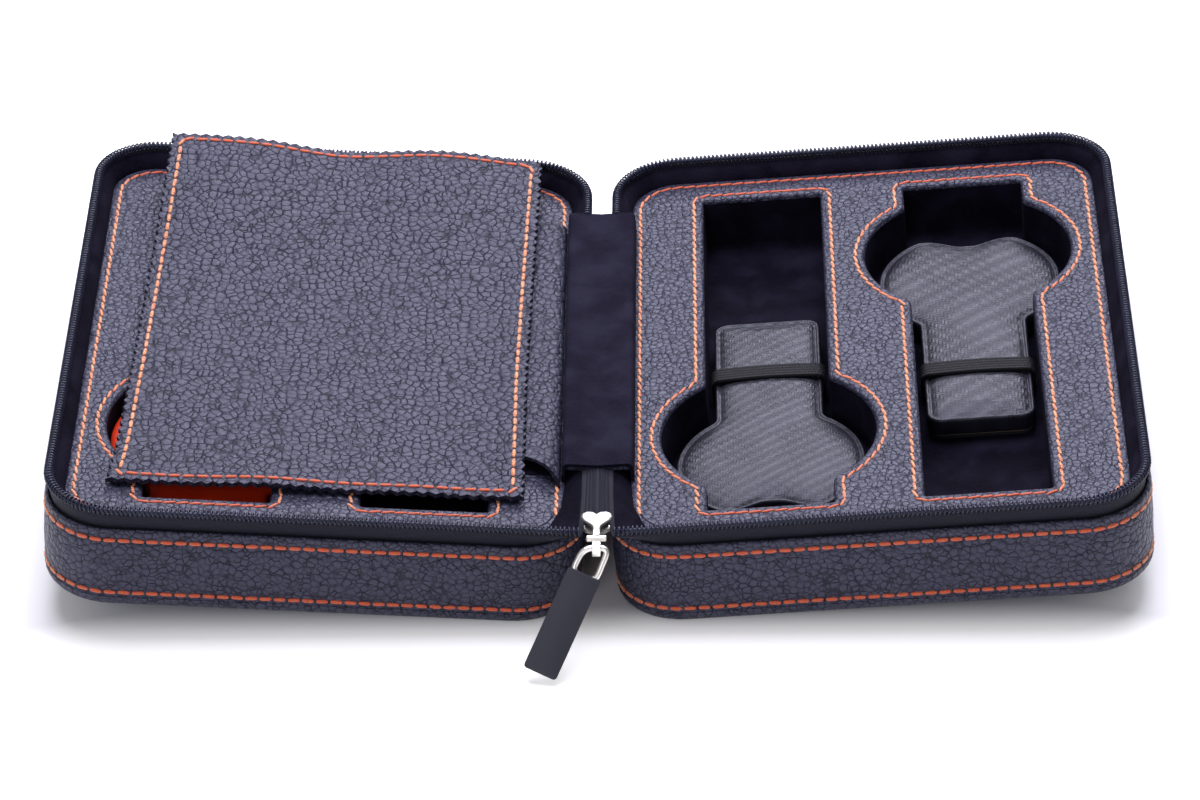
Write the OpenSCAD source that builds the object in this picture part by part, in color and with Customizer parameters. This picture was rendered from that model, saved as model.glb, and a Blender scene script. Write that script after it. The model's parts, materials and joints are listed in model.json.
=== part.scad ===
// Zip-round travel case for four watches, lying open on its back.
// Each half is a stiff leather-covered shell with a padded tray, two keyhole
// pockets and two watch holders. The right half folds over the left one
// about the spine, and a leather flap covers the left half's tray.
// Millimetres. X runs across both halves, Y from front to back, Z is up.
// Inside a half, u runs outwards from the spine's axis, v from the front
// edge to the back one, and h up from the half's flat bottom.

/* [Overall] */
// Width of one half, from its spine side to its outer side
half_w = 145; // [138:1:156]
// Depth of the case from front to back
case_d = 188; // [182:1:200]
// Height of one half's zip coil above its flat bottom
half_h = 32.2; // [31:0.2:36]
// Radius of the case's upright corners, seen from above
corner_r = 19; // [17:0.5:22]
// Gap from the spine's axis to each half's side, at the rim
spine_gap = 2.85; // [2.6:0.05:4]
// How far each half's outer side is lifted when the case lies open
open_tilt = 3.9; // [0:0.1:5]

/* [Shell] */
// Radius of the edge round the bottom
bottom_edge_r = 3; // [2:0.25:4]
// Thickness of the leather over the bottom
bottom_leather = 1.4; // [1:0.1:2]
// Thickness of the stiff board in the bottom
bottom_board = 2; // [1.5:0.1:2.5]
// Thickness of the leather round the walls
wall_leather = 1.2; // [1:0.1:1.5]
// Height of the leather wall's top edge
wall_h = 25.3; // [24.5:0.1:26]
// Thickness of the wall's board at its top
wall_board = 3.4; // [3:0.1:4]
// How far the deck's top lies under the coil's top
deck_drop = 6.5; // [6:0.1:7.5]
// Thickness of the deck's leather
deck_leather = 1.4; // [1:0.1:1.8]
// Thickness of the suede round the rim at its top
rim_suede = 0.8; // [0.5:0.1:1.2]

/* [Zip] */
// Thickness of the zip's tape
tape_t = 0.9; // [0.6:0.1:1.2]
// Height at which the tape's sewn edge starts behind the leather
tape_foot = 15; // [12:0.5:18]
// Radius of the zip's coil
coil_r = 1.3; // [1.1:0.05:1.4]
// Width of the closed end of the chain
chain_w = 5.4; // [4.8:0.1:5.4]
// Thickness of the closed end of the chain
chain_t = 2; // [1.6:0.1:2.2]
// Front end of the closed chain, from the front edge
chain_front = 4.2; // [3.3:0.1:5]

/* [Spine] */
// Half the width of the suede strip over the spine
strip_half_w = 9.5; // [9.4:0.1:10.5]
// Front end of the strip, from the front edge
strip_front = 29; // [26:1:36]
// Back end of the strip, from the front edge
strip_back = 159; // [150:1:162]
// Thickness of the suede strip
strip_t = 1; // [0.8:0.1:1.2]
// Gap between the strip's top and the fold's axis
fold_gap = 0.3; // [0.2:0.05:0.5]
// Half the gap between the two halves' spine layers
leaf_gap = 0.15; // [0.1:0.05:0.25]

/* [Pockets] */
// Centre of the inner pocket, from the half's spine side
inner_col = 43.2; // [42:0.05:45]
// Centre of the outer pocket, from the half's spine side
outer_col = 101.6; // [100:0.05:103]
// Radius of a pocket's round part
pocket_r = 30; // [29:0.5:30.5]
// Width of a pocket's long slot
slot_w = 35.3; // [34:0.1:37]
// Distance from the case's ends to the slot's ends
slot_end = 15.6; // [14:0.2:18]
// Distance from the case's ends to the round part's centre
round_end = 51.7; // [50:0.1:54]
// Radius where the slot flares into the round part
pocket_flare = 2.5; // [2:0.5:8]
// Height of a pocket's floor above the bottom
floor_h = 9; // [7:0.25:10]
// Thickness of the suede in a pocket
pocket_suede = 0.6; // [0.4:0.1:0.8]

/* [Watch holders] */
// Radius of a holder's round end
holder_r = 26; // [24:0.5:26]
// Width of a holder's strap part
holder_w = 30; // [28:0.5:30]
// Length from the round end's centre to the strap end
holder_len = 70; // [66:1:74]
// Radius where the strap part flares into the round end
holder_flare = 3; // [2:0.5:6]
// Corner radius of the strap end
holder_corner = 4; // [2:0.5:6]
// Thickness of a holder's padded layer
holder_pad = 5; // [3:0.25:5]
// Thickness of a holder's stiff backing
holder_back = 1.8; // [1.5:0.1:2.5]
// How far the backing's edge lies inside the pad's
back_inset = 0.6; // [0.3:0.1:1]
// Radius of the finger notch in the round end
notch_r = 10; // [8:0.5:12]
// Depth of the finger notch
notch_depth = 6.6; // [5:0.2:8]
// How far the holders sit towards the front of their pockets
holder_shift = 1.75; // [0:0.25:3.75]
// Gap under a holder
seat_gap = 0.3; // [0.2:0.05:0.5]
// Width of the elastic band round a holder
band_w = 6; // [5:0.5:7]
// Thickness of the elastic band
band_t = 0.9; // [0.7:0.1:1]
// Distance from the strap end to the band's middle
band_back = 28; // [24:1:32]
// How far the band bows out beyond the holder's sides
band_bow = 0.8; // [0.6:0.1:0.9]

/* [Flap] */
// Width of the flap's leather panel
flap_w = 112; // [106:1:116]
// Depth of the flap's leather panel
flap_d = 163; // [156:1:165]
// Front edge of the flap, from the front edge of the case
flap_front = 15; // [12:1:18]
// Distance from the spine's axis to the flap's hinge line
flap_axis_u = 14; // [13.8:0.1:15]
// Distance from the hinge line to the panel's edge
flap_setback = 1.7; // [1.5:0.1:2.5]
// Thickness of the flap's leather
flap_leather = 1.3; // [1:0.1:1.5]
// Thickness of the flap's suede, and of its hinge layer
flap_suede = 0.7; // [0.5:0.05:0.8]
// Gap between the deck and the flap's hinge layer
flap_gap = 0.3; // [0.2:0.05:0.4]
// Width of the hinge layer sewn under the flap
flap_tongue = 12; // [10:1:16]
// How far the hinge layer's ends lie inside the strip's ends
tongue_inset = 2; // [1:0.5:6]
// How far the flap's suede lies inside the panel's edge
flap_inset = 2.5; // [2:0.5:4]

/* [Slider and pull] */
// Width of the slider
slider_w = 8.4; // [8:0.1:9]
// Length of the slider's body
slider_len = 10; // [10:0.5:12]
// Front of the slider's body, measured forwards of the front edge
slider_nose = 3.3; // [3:0.1:5]
// Thickness of the slider's plates
slider_plate = 1; // [0.8:0.1:1.2]
// Running gap between the slider and the chain
slider_gap = 0.3; // [0.2:0.05:0.4]
// Length of the slider's post
slider_post = 3; // [2.5:0.25:3.5]
// Radius of the pull's wire
wire_r = 0.8; // [0.6:0.05:0.9]
// Radius of the wire loop's two legs
leg_r = 0.7; // [0.5:0.05:0.75]
// Running gap between the wire and its holes
wire_gap = 0.2; // [0.1:0.05:0.3]
// Thickness of the slider's lug
lug_t = 2.4; // [2:0.1:3]
// Thickness of the lug round the wire's hole
lug_wall = 0.6; // [0.5:0.05:0.8]
// Half the width of the pull's wire loop, between wire centres
loop_half = 3.4; // [3.2:0.1:3.8]
// Length of the wire loop, between wire centres
loop_len = 8.5; // [8:0.5:12]
// Width of the rubber tab
tab_w = 9.4; // [9:0.5:12]
// Length of the rubber tab's wide part
tab_len = 28; // [22:0.5:30]
// Thickness of the rubber tab
tab_t = 2.6; // [2.6:0.1:3.2]
// Width of the tab's tongue, inside the loop
tongue_w = 4.6; // [4:0.1:4.6]
// Angle that the pull hangs sideways
pull_side = 25; // [15:1:30]
// Gap between the tab's tip and the surface below
tip_gap = 0.2; // [0.1:0.05:0.3]

/* [Hidden] */
$fn = 64;
eps = 0.01;
LEFT = -1;
RIGHT = 1;
LEATHER = [0.17, 0.20, 0.27];
DECK = [0.16, 0.19, 0.25];
SUEDE = [0.03, 0.03, 0.05];
BOARD = [0.45, 0.38, 0.28];
FOAM = [0.10, 0.10, 0.11];
CARBON = [0.06, 0.06, 0.07];
ORANGE = [0.85, 0.20, 0.05];
ELASTIC = [0.02, 0.02, 0.02];
METAL = [0.82, 0.80, 0.76];
RUBBER = [0.16, 0.16, 0.18];

// levels, from a half's flat bottom
board_top = bottom_leather + bottom_board;
tape_top = half_h - 2 * coil_r;
deck_top = half_h - deck_drop;
deck_bottom = deck_top - deck_leather;
frame_top = deck_top - deck_leather / 2;
rim_top = tape_top - 0.3;
axis_h = half_h + 0.1;
strip_top = axis_h - fold_gap;
strip_bottom = strip_top - strip_t;
// insets, from the half's outline
tape_out = wall_leather;
tape_in = tape_out + tape_t;
deck_in = tape_in + wall_board;
// the fold's axis above the table, with each half's bottom edge on the table
axis_z = bottom_edge_r + (axis_h - bottom_edge_r) * cos(open_tilt)
  - (spine_gap + bottom_edge_r) * sin(open_tilt);
// holders
back_bottom = floor_h + seat_gap;
pad_bottom = back_bottom + holder_back;
pad_top = pad_bottom + holder_pad;
// flap
tongue_bottom = deck_top + flap_gap;
lining_bottom = tongue_bottom + flap_suede;
panel_bottom = lining_bottom + flap_suede;
panel_u = flap_axis_u + flap_setback;
tongue_front = strip_front + tongue_inset;
tongue_back = strip_back - tongue_inset;
// chain, slider and pull
chain_bottom = strip_bottom - (chain_t - strip_t);
chain_top = chain_bottom + chain_t;
post_back = slider_post - slider_nose;
lug_reach = 2 * (wire_r + wire_gap + lug_wall);
pull_y = -slider_nose - lug_reach / 2 - 0.1;
pull_z = axis_z - axis_h + (chain_bottom + chain_top) / 2 - 0.6;
wire_overshoot = 0.75 * wire_r;
tongue_start = loop_len - wire_r - wire_gap - 0.8;
tab_start = loop_len + wire_r + wire_gap + 0.4;
tab_end = tab_start + tab_len;
drop = tab_end * cos(pull_side) + tab_w / 2 * sin(pull_side);
pull_lean = acos((pull_z - tip_gap) / norm([drop, tab_t / 2])) + atan(tab_t / 2 / drop);
// the model's origin: middle of its length and depth, on the table
front_reach = -pull_y + drop * sin(pull_lean) + tab_t / 2 * cos(pull_lean);
origin_y = (case_d - front_reach) / 2;

echo(axis_z=axis_z, axis_h=axis_h, origin_y=origin_y, pull_y=pull_y, pull_z=pull_z,
  pull_lean=pull_lean, flap_axis_h=lining_bottom, deck_top=deck_top, pad_top=pad_top,
  front_reach=front_reach);

// everything below is drawn from the front edge, then moved to the origin
module placed() {
  translate([0, -origin_y, 0]) children();
}

// puts a half, drawn in u, v and h, on its side of the spine
module half(side) {
  placed()
    translate([0, 0, axis_z])
      rotate([0, -side * open_tilt, 0])
        translate([0, 0, -axis_h])
          mirror([side == LEFT ? 1 : 0, 0, 0])
            children();
}

// the half's outline, drawn in by an inset
module outline(inset) {
  r = corner_r - inset;
  w = half_w - 2 * corner_r;
  d = case_d - 2 * corner_r;
  translate([spine_gap + corner_r, corner_r]) {
    translate([-r, 0]) square([w + 2 * r, d]);
    translate([0, -r]) square([w, d + 2 * r]);
    for (x = [0, w], y = [0, d]) translate([x, y]) circle(r);
  }
}

module plate(inset, low, high) {
  translate([0, 0, low]) linear_extrude(high - low) outline(inset);
}

// sweeps a profile round the half: x is 0 on the outline and less inside it
module around() {
  w = half_w - 2 * corner_r;
  d = case_d - 2 * corner_r;
  translate([spine_gap + half_w / 2, case_d / 2, 0])
    for (k = [0:3]) {
      across = k % 2 == 0 ? w : d;
      along = k % 2 == 0 ? d : w;
      rotate(90 * k) {
        translate([across / 2 + corner_r, along / 2, 0])
          rotate([90, 0, 0]) linear_extrude(along) children();
        translate([across / 2, along / 2, 0])
          rotate_extrude(angle = 90) translate([corner_r, 0]) children();
      }
    }
}

// a slot of half-width a and a disc of radius r, joined by flares of radius f
module keyhole(a, r, f, near, far) {
  reach = sqrt(pow(r + f, 2) - pow(a + f, 2));
  translate([-a, -near]) square([2 * a, near + far]);
  circle(r);
  for (sy = [-1, 1])
    if (reach < (sy > 0 ? far : near))
      difference() {
        polygon([[0, 0], [a + f, sy * reach], [-a - f, sy * reach]]);
        for (sx = [-1, 1]) translate([sx * (a + f), sy * reach]) circle(f);
      }
}

// a pocket's outline, grown or shrunk by grow, with its round part at the origin
module pocket_shape(grow) {
  near = round_end - slot_end + grow;
  far = case_d - round_end - slot_end + grow;
  keyhole(slot_w / 2 + grow, pocket_r + grow, pocket_flare - grow, near, far);
}

module holder_shape(inset) {
  a = holder_w / 2 - inset;
  c = holder_corner;
  difference() {
    union() {
      keyhole(a, holder_r - inset, holder_flare + inset, 0, holder_len - inset - c);
      translate([c - a, holder_len - inset - 2 * c]) square([2 * (a - c), 2 * c]);
      for (s = [-1, 1])
        translate([s * (a - c), holder_len - inset - c]) circle(c);
    }
    translate([0, -holder_r - notch_r + notch_depth]) circle(notch_r + inset);
  }
}

// puts a pocket's drawing in its column, with the round part at front or back
module column(side, inner) {
  front = (side == RIGHT) == inner;
  u = spine_gap + (inner ? inner_col : outer_col);
  translate([u, front ? round_end : case_d - round_end, 0])
    rotate(front ? 0 : 180) children();
}

// a holder lies a little towards the front of the case in its pocket
module holder_place(side, inner) {
  front = (side == RIGHT) == inner;
  column(side, inner)
    translate([0, front ? -holder_shift : holder_shift, 0]) children();
}

module base_cover(side) {
  color(LEATHER) half(side) {
    plate(bottom_edge_r, 0, bottom_leather);
    around()
      difference() {
        intersection() {
          translate([-bottom_edge_r, bottom_edge_r]) circle(bottom_edge_r);
          translate([-bottom_edge_r, 0]) square(bottom_edge_r);
        }
        translate([-2 * bottom_edge_r, bottom_leather])
          square([2 * bottom_edge_r - wall_leather, bottom_edge_r]);
      }
  }
}

module base_board(side) {
  color(BOARD) half(side) plate(wall_leather, bottom_leather, board_top);
}

module wall_cover(side) {
  color(LEATHER) half(side)
    around()
      translate([-wall_leather, bottom_edge_r])
        square([wall_leather, wall_h - bottom_edge_r]);
}

module wall_frame(side) {
  color(BOARD) half(side)
    around()
      polygon([
        [-deck_in, board_top], [-tape_out, board_top], [-tape_out, tape_foot],
        [-tape_in, tape_foot], [-tape_in, frame_top], [-deck_in, frame_top]
      ]);
}

module zip_tape(side) {
  color(SUEDE) half(side)
    around()
      translate([-tape_in, tape_foot]) square([tape_t, tape_top - tape_foot]);
}

module zip_coil(side) {
  color(ELASTIC) half(side)
    difference() {
      around() translate([-coil_r, tape_top + coil_r]) circle(coil_r);
      translate([0, strip_front - leaf_gap, tape_top - 1])
        cube([strip_half_w, strip_back - strip_front + 2 * leaf_gap, 3 * coil_r]);
    }
}

module rim_lining(side) {
  color(SUEDE) half(side)
    around()
      polygon([
        [-deck_in, frame_top], [-tape_in, frame_top], [-tape_in, rim_top],
        [-tape_in - rim_suede, rim_top], [-deck_in, deck_top + rim_suede]
      ]);
}

module tray_foam(side) {
  color(FOAM) half(side)
    difference() {
      plate(deck_in, board_top, deck_bottom);
      for (inner = [true, false])
        column(side, inner)
          translate([0, 0, floor_h - pocket_suede])
            linear_extrude(half_h) pocket_shape(0);
    }
}

module pocket_lining(side) {
  color(SUEDE) half(side)
    for (inner = [true, false])
      column(side, inner)
        difference() {
          translate([0, 0, floor_h - pocket_suede])
            linear_extrude(deck_bottom - floor_h + pocket_suede) pocket_shape(0);
          translate([0, 0, floor_h])
            linear_extrude(half_h) pocket_shape(-pocket_suede);
        }
}

module deck(side) {
  color(DECK) half(side)
    difference() {
      plate(deck_in, deck_bottom, deck_top);
      for (inner = [true, false])
        column(side, inner)
          translate([0, 0, deck_bottom - 1]) linear_extrude(half_h) pocket_shape(0);
    }
}

module spine_leather(side) {
  color(LEATHER) half(side)
    translate([leaf_gap, strip_front, tape_top])
      cube([strip_half_w - strip_t - leaf_gap, strip_back - strip_front,
        strip_bottom - tape_top]);
}

// the left half's suede also runs out over the deck to carry the flap
module spine_suede(side) {
  run = strip_back - strip_front;
  color(SUEDE) half(side) {
    translate([leaf_gap, strip_front, strip_bottom])
      cube([strip_half_w - leaf_gap, run, strip_t]);
    translate([strip_half_w - strip_t, strip_front, deck_top])
      cube([strip_t, run, strip_top - deck_top]);
    if (side == LEFT)
      translate([strip_half_w - eps, tongue_front, deck_top])
        cube([flap_axis_u - flap_gap - strip_half_w + eps, tongue_back - tongue_front,
          flap_suede]);
  }
}

module holder(side, inner, tint) {
  color(tint) half(side) holder_place(side, inner)
    translate([0, 0, pad_bottom]) linear_extrude(holder_pad) holder_shape(0);
}

// the backing has a shallow groove for the band's underside
module holder_backing(side, inner) {
  color(CARBON) half(side) holder_place(side, inner)
    difference() {
      translate([0, 0, back_bottom]) linear_extrude(holder_back) holder_shape(back_inset);
      translate([-holder_w, holder_len - band_back - band_w / 2 - seat_gap, pad_bottom - band_t])
        cube([2 * holder_w, band_w + 2 * seat_gap, holder_back]);
    }
}

module band(side, inner) {
  w = holder_w + 2 * band_bow;
  color(ELASTIC) half(side) holder_place(side, inner)
    translate([0, holder_len - band_back + band_w / 2, 0])
      rotate([90, 0, 0]) linear_extrude(band_w)
        difference() {
          translate([-w / 2 - band_t, pad_bottom - band_t])
            square([w + 2 * band_t, holder_pad + 2 * band_t]);
          translate([-w / 2, pad_bottom]) square([w, holder_pad]);
        }
}

module flap_panel() {
  color(LEATHER) half(LEFT)
    translate([panel_u, flap_front, panel_bottom]) cube([flap_w, flap_d, flap_leather]);
}

module flap_suede_lining() {
  color(SUEDE) half(LEFT)
    translate([panel_u + flap_inset, flap_front + flap_inset, lining_bottom])
      cube([flap_w - 2 * flap_inset, flap_d - 2 * flap_inset, flap_suede]);
}

module flap_hinge() {
  color(LEATHER) half(LEFT)
    translate([flap_axis_u + flap_gap, tongue_front, tongue_bottom])
      cube([flap_tongue, tongue_back - tongue_front, flap_suede]);
}

module zip_chain_end() {
  color(ELASTIC) placed()
    translate([-chain_w / 2, chain_front, axis_z - axis_h + chain_bottom])
      cube([chain_w, strip_front - leaf_gap - chain_front, chain_t]);
}

module zip_slider() {
  low = chain_bottom - slider_gap - slider_plate;
  high = chain_top + slider_gap + slider_plate;
  lug_low = pull_z - axis_z + axis_h - lug_reach / 2;
  wide = chain_w / 2 + slider_gap;
  color(METAL) placed() translate([0, 0, axis_z - axis_h])
    difference() {
      union() {
        for (z = [low, high - slider_plate])
          translate([-slider_w / 2, -slider_nose, z])
            cube([slider_w, slider_len, slider_plate]);
        translate([-slider_w / 2, -slider_nose, low])
          cube([slider_w, slider_post, high - low]);
        for (x = [-slider_w / 2, wide])
          translate([x, -slider_nose, low])
            cube([slider_w / 2 - wide, slider_len, high - low]);
        translate([-lug_t / 2, -slider_nose - lug_reach, lug_low])
          cube([lug_t, lug_reach + 1, lug_reach]);
      }
      translate([-lug_t, pull_y, lug_low + lug_reach / 2])
        rotate([0, 90, 0]) cylinder(h = 2 * lug_t, r = wire_r + wire_gap);
    }
}

// the pull hangs in the plane of its lean, its drawing's -Z running down the pull
module pull_place() {
  placed() translate([0, pull_y, pull_z]) rotate([-pull_lean, 0, 0]) children();
}

function along(s, across) = [
  -s * sin(pull_side) + across * cos(pull_side), 0,
  -s * cos(pull_side) - across * sin(pull_side)
];

// a straight run of wire that overshoots both ends, so that the runs join
module wire(from, to, r) {
  v = to - from;
  long = norm(v);
  translate(from)
    rotate([0, acos(v[2] / long) * (v[0] < 0 ? -1 : 1), 0])
      translate([0, 0, -wire_overshoot]) cylinder(h = long + 2 * wire_overshoot, r = r);
}

module pull_loop() {
  corners = [
    [-loop_half, 0, 0], [loop_half, 0, 0],
    along(loop_len, loop_half), along(loop_len, -loop_half)
  ];
  color(METAL) pull_place()
    for (i = [0:3]) wire(corners[i], corners[(i + 1) % 4], i % 2 == 0 ? wire_r : leg_r);
}

module pull_tab() {
  color(RUBBER) pull_place() rotate([0, pull_side, 0])
    difference() {
      union() {
        translate([-tab_w / 2, -tab_t / 2, -tab_end]) cube([tab_w, tab_t, tab_len]);
        translate([-tongue_w / 2, -tab_t / 2, -tab_start - tab_t])
          cube([tongue_w, tab_t, tab_start + tab_t - tongue_start]);
      }
      translate([-tab_w, 0, -loop_len]) rotate([0, 90, 0])
        cylinder(h = 2 * tab_w, r = wire_r + wire_gap);
    }
}

base_cover(LEFT);  // left_base_cover
base_board(LEFT);  // left_base_board
wall_cover(LEFT);  // left_wall_cover
wall_frame(LEFT);  // left_wall_frame
zip_tape(LEFT);  // left_zip_tape
zip_coil(LEFT);  // left_zip_coil
rim_lining(LEFT);  // left_rim_lining
tray_foam(LEFT);  // left_tray_foam
pocket_lining(LEFT);  // left_pocket_lining
deck(LEFT);  // left_deck
spine_leather(LEFT);  // left_spine_leather
spine_suede(LEFT);  // left_spine_suede
holder(LEFT, true, CARBON);  // left_holder_inner
holder_backing(LEFT, true);  // left_holder_inner_back
band(LEFT, true);  // left_band_inner
holder(LEFT, false, ORANGE);  // left_holder_outer
holder_backing(LEFT, false);  // left_holder_outer_back
band(LEFT, false);  // left_band_outer
base_cover(RIGHT);  // right_base_cover
base_board(RIGHT);  // right_base_board
wall_cover(RIGHT);  // right_wall_cover
wall_frame(RIGHT);  // right_wall_frame
zip_tape(RIGHT);  // right_zip_tape
zip_coil(RIGHT);  // right_zip_coil
rim_lining(RIGHT);  // right_rim_lining
tray_foam(RIGHT);  // right_tray_foam
pocket_lining(RIGHT);  // right_pocket_lining
deck(RIGHT);  // right_deck
spine_leather(RIGHT);  // right_spine_leather
spine_suede(RIGHT);  // right_spine_suede
holder(RIGHT, true, CARBON);  // right_holder_inner
holder_backing(RIGHT, true);  // right_holder_inner_back
band(RIGHT, true);  // right_band_inner
holder(RIGHT, false, CARBON);  // right_holder_outer
holder_backing(RIGHT, false);  // right_holder_outer_back
band(RIGHT, false);  // right_band_outer
flap_panel();
flap_suede_lining();
flap_hinge();
zip_chain_end();
zip_slider();
pull_loop();
pull_tab();
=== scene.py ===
import json
import math

import bpy
import numpy as np
from mathutils import Matrix, Vector, geometry, noise

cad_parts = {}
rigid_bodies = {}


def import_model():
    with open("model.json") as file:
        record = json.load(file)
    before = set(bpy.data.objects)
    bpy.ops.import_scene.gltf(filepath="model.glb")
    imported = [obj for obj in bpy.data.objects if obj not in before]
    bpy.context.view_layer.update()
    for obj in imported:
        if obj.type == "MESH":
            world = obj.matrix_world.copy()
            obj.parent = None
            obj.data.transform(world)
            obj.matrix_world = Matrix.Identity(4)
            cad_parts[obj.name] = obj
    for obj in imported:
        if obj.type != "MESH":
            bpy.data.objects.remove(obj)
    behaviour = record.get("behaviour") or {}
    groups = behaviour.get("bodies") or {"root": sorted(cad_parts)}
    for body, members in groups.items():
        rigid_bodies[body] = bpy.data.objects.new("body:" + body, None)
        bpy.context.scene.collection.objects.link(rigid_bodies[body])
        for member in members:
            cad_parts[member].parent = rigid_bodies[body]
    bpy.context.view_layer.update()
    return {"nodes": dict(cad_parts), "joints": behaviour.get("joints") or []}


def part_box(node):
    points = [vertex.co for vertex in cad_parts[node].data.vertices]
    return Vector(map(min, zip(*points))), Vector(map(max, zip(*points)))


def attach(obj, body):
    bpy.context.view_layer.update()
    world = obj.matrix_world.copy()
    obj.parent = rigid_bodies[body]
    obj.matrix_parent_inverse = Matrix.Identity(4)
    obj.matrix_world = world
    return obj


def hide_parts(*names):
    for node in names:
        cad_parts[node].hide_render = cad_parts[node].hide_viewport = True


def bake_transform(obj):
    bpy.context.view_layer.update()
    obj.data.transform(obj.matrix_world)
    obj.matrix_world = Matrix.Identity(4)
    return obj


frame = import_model()
joints = {j["name"]: j for j in frame["joints"]}
mm = 0.001

# sizes of the case in millimetres, as the frame has them
case = {
    "halfWidth": 145, "depth": 188, "height": 32.2, "cornerRadius": 19, "foldGap": 0.1,
    "spineGap": 2.85, "wallTop": 25.3, "deckTop": 25.7, "deckThick": 1.4, "deckInset": 5.5,
    "floor": 9, "stripFront": 29, "stripBack": 159,
}
tilt = math.radians((180 - joints["case_fold"]["range_deg"][1]) / 2)
foldZ = joints["case_fold"]["pos_m"][2] / mm
axisHeight = case["height"] + case["foldGap"]
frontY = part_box("left_zip_coil")[0].y / mm
left, right = -1, 1
sideName = {left: "left", right: "right"}
halfBody = {left: "left_half", right: "right_half"}
print("frame loaded: tilt", round(math.degrees(tilt), 2), "fold height", round(foldZ, 2))


def place(side, points):  # u, v, h of a half, in mm, to the row frame in metres
    p = np.asarray(points, float).reshape(-1, 3)
    z = p[:, 2] - axisHeight
    x = side * (p[:, 0] * math.cos(tilt) - z * math.sin(tilt))
    high = foldZ + p[:, 0] * math.sin(tilt) + z * math.cos(tilt)
    return np.stack([x, p[:, 1] + frontY, high], 1) * mm


def upOf(side):
    return Vector((-side * math.sin(tilt), 0, math.cos(tilt)))


def flat(loop, height):  # a plan loop lifted to a height
    return np.column_stack([np.asarray(loop, float), np.full(len(loop), float(height))])


def raised(profile, height):  # pairs of inset and rise to pairs of inset and height
    return [(inset, height + rise) for inset, rise in profile]


def arc(x, y, radius, start, stop, count):  # angles in degrees
    a = np.radians(np.linspace(start, stop, count))
    return np.column_stack([x + radius * np.cos(a), y + radius * np.sin(a)])


def between(a, b, shares):  # places on the line from a to b
    a, b = np.array(a, float), np.array(b, float)
    return np.array([a + (b - a) * t for t in shares])


def smooth(low, high, x):
    t = np.clip((np.asarray(x, float) - low) / (high - low), 0, 1)
    return t * t * (3 - 2 * t)


def wander(x, y, z=0.0):
    return noise.noise(Vector((x, y, z)))


def makeObject(name, points, faces, flip=False):
    mesh = bpy.data.meshes.new(name)
    if flip:
        faces = [tuple(reversed(f)) for f in faces]
    mesh.from_pydata([tuple(map(float, p)) for p in points], [], [tuple(map(int, f)) for f in faces])
    mesh.validate()
    mesh.shade_smooth()
    obj = bpy.data.objects.new(name, mesh)
    bpy.context.collection.objects.link(obj)
    return obj


def bridge(count, rings, closedStack=False):  # quads between rings of equal count
    faces = []
    for i in range(rings if closedStack else rings - 1):
        for j in range(count):
            a, b = i * count + j, i * count + (j + 1) % count
            k = ((i + 1) % rings) * count
            faces.append((a, b, k + (j + 1) % count, k + j))
    return faces


def capped(count, rings):  # the same, with a face over each end
    last = (rings - 1) * count
    return bridge(count, rings) + [tuple(reversed(range(count))), tuple(range(last, last + count))]


def fillPlan(loops, inside=()):  # triangles over a plan area bounded by loops, the first one outside
    points = [Vector(p[:2]) for loop in loops for p in loop]
    edges, start = [], 0
    for loop in loops:
        edges += [(start + i, start + (i + 1) % len(loop)) for i in range(len(loop))]
        start += len(loop)
    points += [Vector(p) for p in inside]
    insideOnly, snap = 1, 1e-5
    found = geometry.delaunay_2d_cdt(points, edges, [], insideOnly, snap)
    verts = np.array([tuple(v) for v in found[0]])
    source = [min(ids) if ids else -1 for ids in found[3]]
    holes = [np.array([p[:2] for p in loop]) for loop in loops[1:]]
    faces = []
    for f in found[2]:
        centre = verts[list(f)].mean(0)
        if any(insideLoop(centre, hole) for hole in holes):
            continue
        area = np.cross(verts[f[1]] - verts[f[0]], verts[f[2]] - verts[f[0]])
        faces.append([source[i] for i in (f if area > 0 else reversed(f))])
    return faces


def insideLoop(point, loop):
    x, y = point
    a, b = loop, np.roll(loop, -1, axis=0)
    crosses = (a[:, 1] > y) != (b[:, 1] > y)
    with np.errstate(divide="ignore", invalid="ignore"):
        at = a[:, 0] + (y - a[:, 1]) * (b[:, 0] - a[:, 0]) / (b[:, 1] - a[:, 1])
    return bool((crosses & (at > x)).sum() % 2)


def finishMesh(obj, material, body, replaces=(), angle=None):
    obj.data.materials.append(material)
    if angle is not None:
        obj.data.set_sharp_from_angle(angle=math.radians(angle))
    if body:
        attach(obj, body)
    if replaces:
        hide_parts(*replaces)


# node trees: one class adds nodes, and one wraps a socket so that maths reads as maths
class Value:
    def __init__(self, nodes, socket):
        self.nodes, self.socket = nodes, socket

    def math(self, operation, *others):
        return self.nodes.value("ShaderNodeMath", {"operation": operation}, dict(enumerate((self,) + others)))

    def __add__(self, other):
        return self.math("ADD", other)

    __radd__ = __add__

    def __mul__(self, other):
        return self.math("MULTIPLY", other)

    __rmul__ = __mul__

    def __sub__(self, other):
        return self.math("SUBTRACT", other)

    def __rsub__(self, other):
        return (self * -1) + other

    def __truediv__(self, other):
        return self.math("DIVIDE", other)

    def __pow__(self, other):
        return self.math("POWER", other)


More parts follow.
